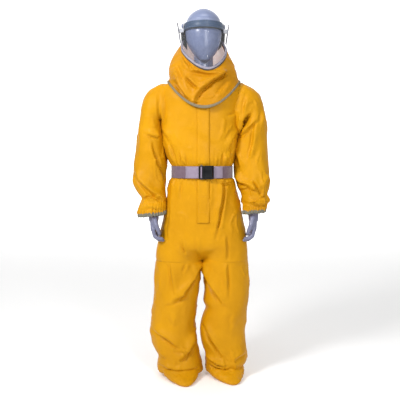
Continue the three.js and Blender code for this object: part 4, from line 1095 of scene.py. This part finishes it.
CAPE_FOLDS = [
    ([(-92, 1570), (-72, 1525), (-55, 1494)], 9, 14, -1),
    ([(-58, 1497), (16, 1482), (104, 1476)], 9, 14),
    ([(-72, 1470), (-36, 1433), (-8, 1410)], 11, 13),
    ([(104, 1478), (37, 1444), (-10, 1391), (-44, 1334)], 14, 15, -1, True),
    ([(-48, 1343), (-8, 1346)], 5, 8),
    ([(-118, 1462), (-76, 1386), (-36, 1341)], 12, 20),
    ([(-128, 1520), (-112, 1470), (-96, 1430)], 6, 18, -1),
    ([(150, 1450), (110, 1400), (60, 1352)], 4, 22),
]

CAPE_BACK_FOLDS = [
    ([(-90, 1640), (-60, 1520), (-70, 1380)], 8, 24),
    ([(80, 1640), (60, 1530), (80, 1380)], 8, 24, -1),
    ([(-10, 1600), (10, 1480), (0, 1360)], 5, 26),
]


def make_cape():
    plain = cape_grid(math.pi + round_angles(CAPE_COLUMNS))  # joined at the back
    grid = crumple(sculpt(plain, CAPE_FOLDS, CAPE_BACK_FOLDS), 0.8, 50.0, 1.0)
    row = np.arange(len(grid))
    edge = np.minimum(ease(row, 0, 9), ease(row[::-1], 0, 7))[:, None, None]
    grid = plain * (1 - edge) + grid * edge
    joined = np.arange(CAPE_COLUMNS + 1) % CAPE_COLUMNS
    # the cape wears the darker copy of the suit cloth, painted shade
    cape = sheet_object("cape_cloth", grid[:, joined], 2.2, ("suit", "suit_fabric", cape_yellow_painted_shade), "cape")
    make_hem_tape()
    stitch_row("cape_stitches", grid[8][joined], outward(grid)[8][joined], stitching)


def make_hem_tape():
    """The binding folded over the cape's bottom edge."""
    angles = round_angles(CAPE_COLUMNS)
    profile = [(-1.4, 13), (-1.9, 10), (-1.9, 3), (-1.2, 0), (0.8, -0.8), (2.8, 0), (3.2, 6), (3.2, 13)]
    grid = np.stack([hem_point(angles, inset, rise) for inset, rise in profile], 1)
    loop_strip("hem_tape_band", grid, True, ("suit", "binding_tape", binding), "cape_hem_tape")


def make_lining():
    """The pale lining inside the sides and the back of the hood."""
    grid = cape_grid(np.linspace(1.02, TURN - 1.02, 130), 10, 0.03, 0.52, 46)
    normal = outward(grid, closed=False)
    slack = 1.5 + ripple(grid, (30, 30, 46), 60.0) * 1.8 + creased(grid, (34, 34, 60), 61.0) * 1.6
    grid = grid - normal * (slack + 1.5)[..., None]
    lining = sheet_object("lining_sheet", grid, 1.4, ("suit", "lining_fabric", lining_cloth), "hood_lining")


def ring_strip(name, profile, look, replaced):
    """A strip along the cape's top edge from temple to temple, from a section of (inset, rise)."""
    angles = np.linspace(-math.radians(104), math.radians(104), 150)
    grid = np.stack([turned_with_head(ring_point(angles, inset, rise)) for inset, rise in profile], 1)
    loop_strip(name, grid, False, look, replaced)


def make_ring():
    clamp = [(-1.4, 1.2), (-1.8, 3), (-1.4, 5.2), (3, 5.2), (8, 5.2), (8, 1.2), (3, 1.2)]
    ring_strip("ring_clamp_strip", clamp, rubber_look, "cape_clamp")
    ring = [
        (-1, 6.4), (-2.2, 8), (-2.4, 11), (-1.2, 13), (0.6, 13.6), (1.2, 15), (0.4, 16.6), (1.2, 18.4),
        (4, 18.6), (7, 18), (8, 16), (8, 8), (7, 6.4),
    ]
    ring_strip("visor_ring_strip", ring, ("suit", "ring_rubber", ring_rubber), "visor_ring")


def visor_wall(inset, rows, columns):
    """A face of the visor, from the ring up to the top of the brow band."""
    wrap = math.radians(93)
    angles = np.linspace(-wrap, wrap, columns)
    t = np.linspace(0, 1, rows)[:, None]
    xb, yb = oval(angles, *(VISOR_FOOT - inset))
    xt, yt = oval(angles, *(VISOR_TOP - inset))
    low = ring_height(angles) + 19.8
    bow = 3 * np.sin(math.pi * t) * np.cos(angles)
    x, y = xb * (1 - t) + xt * t, yb * (1 - t) + yt * t - bow
    return turned_with_head(np.stack((x, y, low * (1 - t) + (BAND_TOP_Z + 1) * t), -1))


def make_visor():
    """The clear sheet that stands on the ring, wider at the top, with a polished rim, which like the sheet's
    side strips and cut edges is tinted dark grey: painted shade for how the clear sheet looks edge-on.
    """
    rows, columns, rim_strips = 40, 120, 3
    look = ("visor_unit", "clear_plastic", visor_clear)
    visor = sheet_object("visor_sheet", visor_wall(0, rows, columns), 2.0, look, "visor")
    visor.data.materials.append(visor_edge_painted_shade)
    section = [(-2.2, -4), (2.2, -4), (2.8, 0), (2.2, 4), (-2.2, 4), (-2.8, 0)]
    for number, column in enumerate((0, -1)):
        edge = visor_wall(1, rows, columns)[:, column]
        rim = np.stack([edge + np.array((x, y, 0)) for x, y in section], 1)
        loop_strip(f"visor_rim_{number}", rim, False, ("visor_unit", "clear_plastic", visor_edge_painted_shade))
    strips = columns - 1
    # the side strips and the cut edges take the dark edge material, painted shade
    for polygon in visor.data.polygons:
        strip = polygon.index % strips
        past_walls = polygon.index >= 2 * (rows - 1) * strips
        if past_walls or min(strip, strips - 1 - strip) < rim_strips:
            polygon.material_index = 1


# ------------------------------------------------------------------ helmet and display form


def head_ring(angles, half, front, back, z):
    x, y = oval(angles, half, front, back)
    return turned_with_head(np.stack((x, y, np.broadcast_to(z, x.shape)), -1))


def make_band():
    """The brow band: a face between two ridges, over a lip that juts out in front."""
    angles = round_angles(160)
    to_front = np.clip(np.cos(angles), 0, 1)
    section = [
        (-3.2, 0, 0), (-1, -0.6, 1), (0, -0.8, 1), (0.4, 1, 1), (0, 3, 1), (-0.6, 5, 0.75), (-1.6, 6.2, 0.45),
        (-1.8, 7.4, 0.3), (-0.6, 8.6, 0.2), (0, 10, 0.1), (-0.2, 16, 0), (-0.6, 21, 0), (-1.6, 23.2, 0),
        (-2.6, 24, 0), (-2.8, 25.4, 0), (-2.0, 27, 0), (-2.4, 30, 0), (-4, 32.4, 0), (-6, 33, 0),
        (-8.2, 32.6, 0), (-5.2, 28, 0), (-3.2, 21, 0),
    ]
    rings = []
    for out, up, share in section:
        sink = -3.0 * (1 - to_front) * np.exp(-up / 9)
        reach = out + 7 * to_front**1.5 * share
        z = BAND_BOTTOM_Z + up + sink
        rings.append(head_ring(angles, BAND_HALF + reach, BAND_FRONT + reach, BAND_BACK + out, z))
    look = ("suit", "band_plastic", band_plastic)
    loop_strip("brow_band_shell", np.stack(rings, 1), True, look, "brow_band")


def make_dome():
    """The dome: a smooth thin crown that stands on the band, with a low step round its foot."""
    angles = round_angles(144)
    base_z = BAND_TOP_Z + 0.3
    rows = []
    for share in np.sin(np.linspace(0, math.pi / 2, 46)):
        size = max((1 - share**1.8) ** (1 / 1.7), 0.004)
        foot = 1.6 * math.exp(-((share / 0.05) ** 2)) - 0.8 * math.exp(-(((share - 0.13) / 0.03) ** 2))
        z = base_z + (DOME_TOP_Z - base_z) * share
        rows.append(head_ring(angles, 84 * size + foot, 96 * size + foot, 100 * size + foot, z))
    tube("dome_shell", np.array(rows), ("suit", "helmet_plastic", dome_plastic), "helmet_shell")


def make_head():
    """The form's plain egg of a head."""
    levels = np.array([  # share of the height, half width, depth, and how far the middle moves back
        (0, 0.03, 0.03, -48), (0.025, 0.2, 0.2, -46), (0.09, 0.41, 0.38, -38), (0.18, 0.61, 0.56, -28),
        (0.29, 0.79, 0.76, -18), (0.41, 0.92, 0.9, -10), (0.53, 0.985, 0.98, -4), (0.65, 1, 1, 0),
        (0.76, 0.86, 0.87, 3), (0.86, 0.7, 0.72, 5), (0.94, 0.48, 0.5, 7), (0.985, 0.24, 0.26, 8),
        (1, 0.03, 0.03, 8),
    ])
    columns = 128
    ramp = (1 - np.cos(np.linspace(0, math.pi, 90))) / 2
    half, depth, middle = glide(levels[:, 0], levels[:, 1:], ramp).T
    x, y = sections(columns, 88 * half, 92 * depth, 92 * depth)
    z = np.repeat(HEAD_BOTTOM_Z + HEAD_HEIGHT * ramp[:, None], columns, 1)
    grid = turned_with_head(np.stack((x, y + middle[:, None], z), -1))
    tube("head_form", grid, ("suit", "form_gloss", form_paint), "display_head")


def make_collar():
    """The soft stand collar round the form's neck, under the cape."""
    angles = round_angles(96)
    profile = [(57, 0.3), (57.5, 18), (56.8, 33), (55.6, 34.3), (54.2, 33), (54.2, 0.3)]
    rings = []
    for radius, up in profile:
        wavy = radius + 0.7 * np.sin(angles * 9 + up * 0.2) * (radius > 55)
        x, y = oval(angles, wavy, wavy, wavy)
        rings.append(np.stack((HEAD_X + x, 14 + y, np.full_like(x, NECK_BASE_Z + up)), -1))
    loop_strip("collar_cloth", np.stack(rings, 1), True, suit_look, "collar")


def capsule(bm, start, end, radius_start, radius_end):
    """A round limb between two points, as a mesh with domed ends."""
    start, end = Vector(start), Vector(end)
    axis = (end - start).normalized()
    side = axis.cross(Vector((0.31, 0.87, 0.39))).normalized()  # any direction that isn't the axis
    up = axis.cross(side)
    around = round_angles(14)
    dome = (8, 30, 55, 80)
    steps = [(start, radius_start, -a) for a in dome[::-1]] + [(end, radius_end, a) for a in dome]
    rings = []
    for centre, radius, degrees in steps:
        middle = centre + axis * radius * math.sin(math.radians(degrees))
        reach = radius * math.cos(math.radians(degrees))
        spokes = [side * reach * math.cos(k) + up * reach * math.sin(k) for k in around]
        rings.append([bm.verts.new(middle + spoke) for spoke in spokes])
    for low, high in zip(rings, rings[1:]):
        for j, k in zip(range(len(around)), [*range(1, len(around)), 0]):
            bm.faces.new((low[j], low[k], high[k], high[j]))
    bm.faces.new(list(reversed(rings[0])))
    bm.faces.new(rings[-1])


def hand_mesh(side, name):
    """The limbs of a relaxed hand: a wrist, a palm, four curled fingers of three joints, and a thumb."""
    wrist = np.array((-230, -60, 822) if side < 0 else (255, -56, 822), float)
    bm = bmesh.new()

    def limb(a, b, ra, rb):
        points = [wrist + np.array((side * p[0] * 1.25, p[1] * 1.15, p[2] * 1.04)) for p in (a, b)]
        capsule(bm, *(at(p) for p in points), ra * 1.12 * MM, rb * 1.12 * MM)

    limb((0, 2, 6), (0, 0, -40), 25, 22)
    for spread, low in ((-20, -84), (-7, -88), (7, -86), (19, -80)):
        limb((0, spread * 0.45, -34), (1, spread, low), 17, 12)
    fingers = (  # place, knuckle, radius and three lengths
        (-25, -84, 9.4, (30, 19, 15)),
        (-9, -88, 9.4, (33, 22, 16)),
        (8, -86, 9.4, (31, 20, 15)),
        (23, -80, 8.0, (24, 15, 12)),
    )
    for y, knuckle, radius, lengths in fingers:
        place = np.array((1.0, y, knuckle))
        for length, curl in zip(lengths, (10, 48, 84)):
            tilt = math.radians(curl)
            tip = place + length * np.array((-math.sin(tilt), -0.03, -math.cos(tilt)))
            limb(place, tip, radius, radius * 0.92)
            place, radius = tip, radius * 0.92
    limb((-4, -20, -34), (-12, -34, -66), 14, 11)
    limb((-12, -34, -66), (-20, -33, -88), 10.5, 9)
    limb((-20, -33, -88), (-24, -28, -104), 9, 7.5)
    mesh = bpy.data.meshes.new(name)
    bm.to_mesh(mesh)
    bm.free()
    return mesh


def make_hand(side, name):
    """A hand of the form, with one smooth skin over its limbs."""
    obj = placed(f"hand_form_{name}", hand_mesh(side, f"hand_form_{name}"))
    remesh = obj.modifiers.new("skin", "REMESH")
    remesh.mode, remesh.voxel_size = "VOXEL", 2.4 * MM
    soften = obj.modifiers.new("soften", "SMOOTH")
    soften.factor, soften.iterations = 0.6, 9
    depsgraph = bpy.context.evaluated_depsgraph_get()
    skin = bpy.data.meshes.new_from_object(obj.evaluated_get(depsgraph))
    obj.modifiers.clear()
    obj.data = skin
    skin.shade_smooth()
    dress(obj, ("suit", "form_gloss", hand_paint), f"display_hand_{name}")


def make_gusset(side, name):
    """The dark gusset that closes the gap between the head, the band and the visor's side edge."""
    across, up = np.meshgrid(np.linspace(0, 1, 16), np.linspace(0, 1, 30))
    inner, outer = 76 + 4 * up, 106 + 3.5 * up
    x = side * (inner + (outer - inner) * across)
    y = 34 - 22 * across + 1.5 * np.sin(5 * math.pi * across)
    z = 1612 + 30 * across * (1 - up) + 92 * up
    grid = turned_with_head(np.stack((x, y, z), -1))[:, ::side]
    face_out(sheet_object(f"gusset_{name}", grid, 1.6, rubber_look, f"side_seal_{name}"))


def make_helmet_parts():
    """Pivot knobs, brackets, side seals and the ratchet knob."""
    across = np.array((math.cos(HEAD_YAW), math.sin(HEAD_YAW), 0))
    backwards = np.array((-math.sin(HEAD_YAW), math.cos(HEAD_YAW), 0))
    knob = [(3.9, 95.6), (4, 101), (9.4, 102.2), (10, 103.4), (10, 106.4), (9, 108), (6.5, 108)]
    knob += [(5.8, 107), (2, 107)]
    centre = turned_with_head((0, 0, PIVOT_Z))
    for side, name in SIDES:
        node = f"pivot_knob_{name}"
        look = (node, "helmet_plastic", dome_plastic)
        turned(f"knob_{name}", centre, across * side, knob, look, 14, 0.07, node)
        bracket_look = ("visor_unit", "bracket_plastic", pale_plastic)
        rounded(f"pivot_bracket_{name}", f"bracket_{name}", 1.1, bracket_look)
        make_gusset(side, name)
    ratchet = [(14, 108.4), (16, 109), (16, 113.6), (15, 116.4), (13, 117.2), (10, 116.6), (3, 116.8)]
    centre = turned_with_head((0, 0, RATCHET_Z))
    look = ("ratchet_knob", "black_plastic", black_plastic)
    turned("ratchet", centre, backwards, ratchet, look, 16, 0.08, "ratchet_knob")


def finish_cad_nodes():
    """Materials for the CAD nodes that stay as they are."""
    looks = {
        "headband": black_plastic,
        "sweatband": seal_rubber,
        "crown_strap_across": belt_dark,
        "crown_strap_along": belt_dark,
        "zip_tape_right": binding,
        "zip_tape_left": binding,
        "zip_slider": zip_metal,
        "zip_pull": zip_metal,
        "display_neck": form_paint,
    }
    for node, material in looks.items():
        for entry in nodes[node].material_slots:
            entry.material = material


# ------------------------------------------------------------------ studio


def pale_sheet(name, corners, glow):
    """A flat pale surface of the studio, which glows a little."""
    mesh = bpy.data.meshes.new(name)
    mesh.from_pydata(corners, [], [(0, 1, 2, 3)])
    paint = Shader(name, 0.8, Base_Color=(0.88, 0.88, 0.88), Emission_Color=(1, 1, 1), Emission_Strength=glow)
    mesh.materials.append(paint.material)
    placed(name, mesh)


def lamp(name, place, target, power, size_x, size_y):
    """An oblong lamp that looks from one point to another."""
    data = bpy.data.lights.new(name, "AREA")
    data.shape, data.size, data.size_y, data.energy = "RECTANGLE", size_x, size_y, power
    obj = placed(name, data)
    obj.location = place
    obj.rotation_mode = "QUATERNION"
    obj.rotation_quaternion = (Vector(target) - Vector(place)).to_track_quat("-Z", "Y")


def make_studio():
    """A pale floor, a white surround, a broad key from above, and a strip that draws the head's highlight."""
    far, high = 5, 8
    pale_sheet("floor", [(-far, -far, 0), (far, -far, 0), (far, far, 0), (-far, far, 0)], 0.13)
    pale_sheet("backdrop", [(-far, far, 0), (far, far, 0), (far, far, high), (-far, far, high)], 0.85)
    world = bpy.data.worlds.new("surround")
    world.use_nodes = True
    world.node_tree.nodes["Background"].inputs["Color"].default_value = (1, 1, 1, 1)
    world.node_tree.nodes["Background"].inputs["Strength"].default_value = 0.42
    bpy.context.scene.world = world
    lamp("key", (-1.9, -2.2, 2.9), (0, 0, 1.5), 96, 0.8, 0.8)
    lamp("fill", (2.6, -2.4, 1.8), (0, 0, 1.1), 6, 1.6, 1.6)
    lamp("strip", (0.62, -2.2, 1.85), (0, 0, 1.6), 24, 0.3, 1.5)
    lamp("crown", (0.0, -0.5, 3.4), (0, 0, 1.8), 8, 0.9, 0.5)


def make_camera():
    data = bpy.data.cameras.new("camera")
    data.sensor_width = 36
    data.lens = 59.9
    data.shift_y = -0.06
    camera = placed("camera", data)
    camera.location = (-0.0064, -3.26, 1.1)
    camera.rotation_euler = (math.radians(90 - 1.94), 0, 0)
    bpy.context.scene.camera = camera


make_camera()
make_studio()
body_cloth = make_coverall()
storm_flap(body_cloth)
make_belt()
make_cape()
make_lining()
make_ring()
make_visor()
make_band()
make_dome()
make_head()
make_collar()
for hand_side, hand_name in SIDES:
    make_hand(hand_side, hand_name)
make_helmet_parts()
finish_cad_nodes()

view_settings = bpy.context.scene.view_settings
view_settings.view_transform = "Standard"
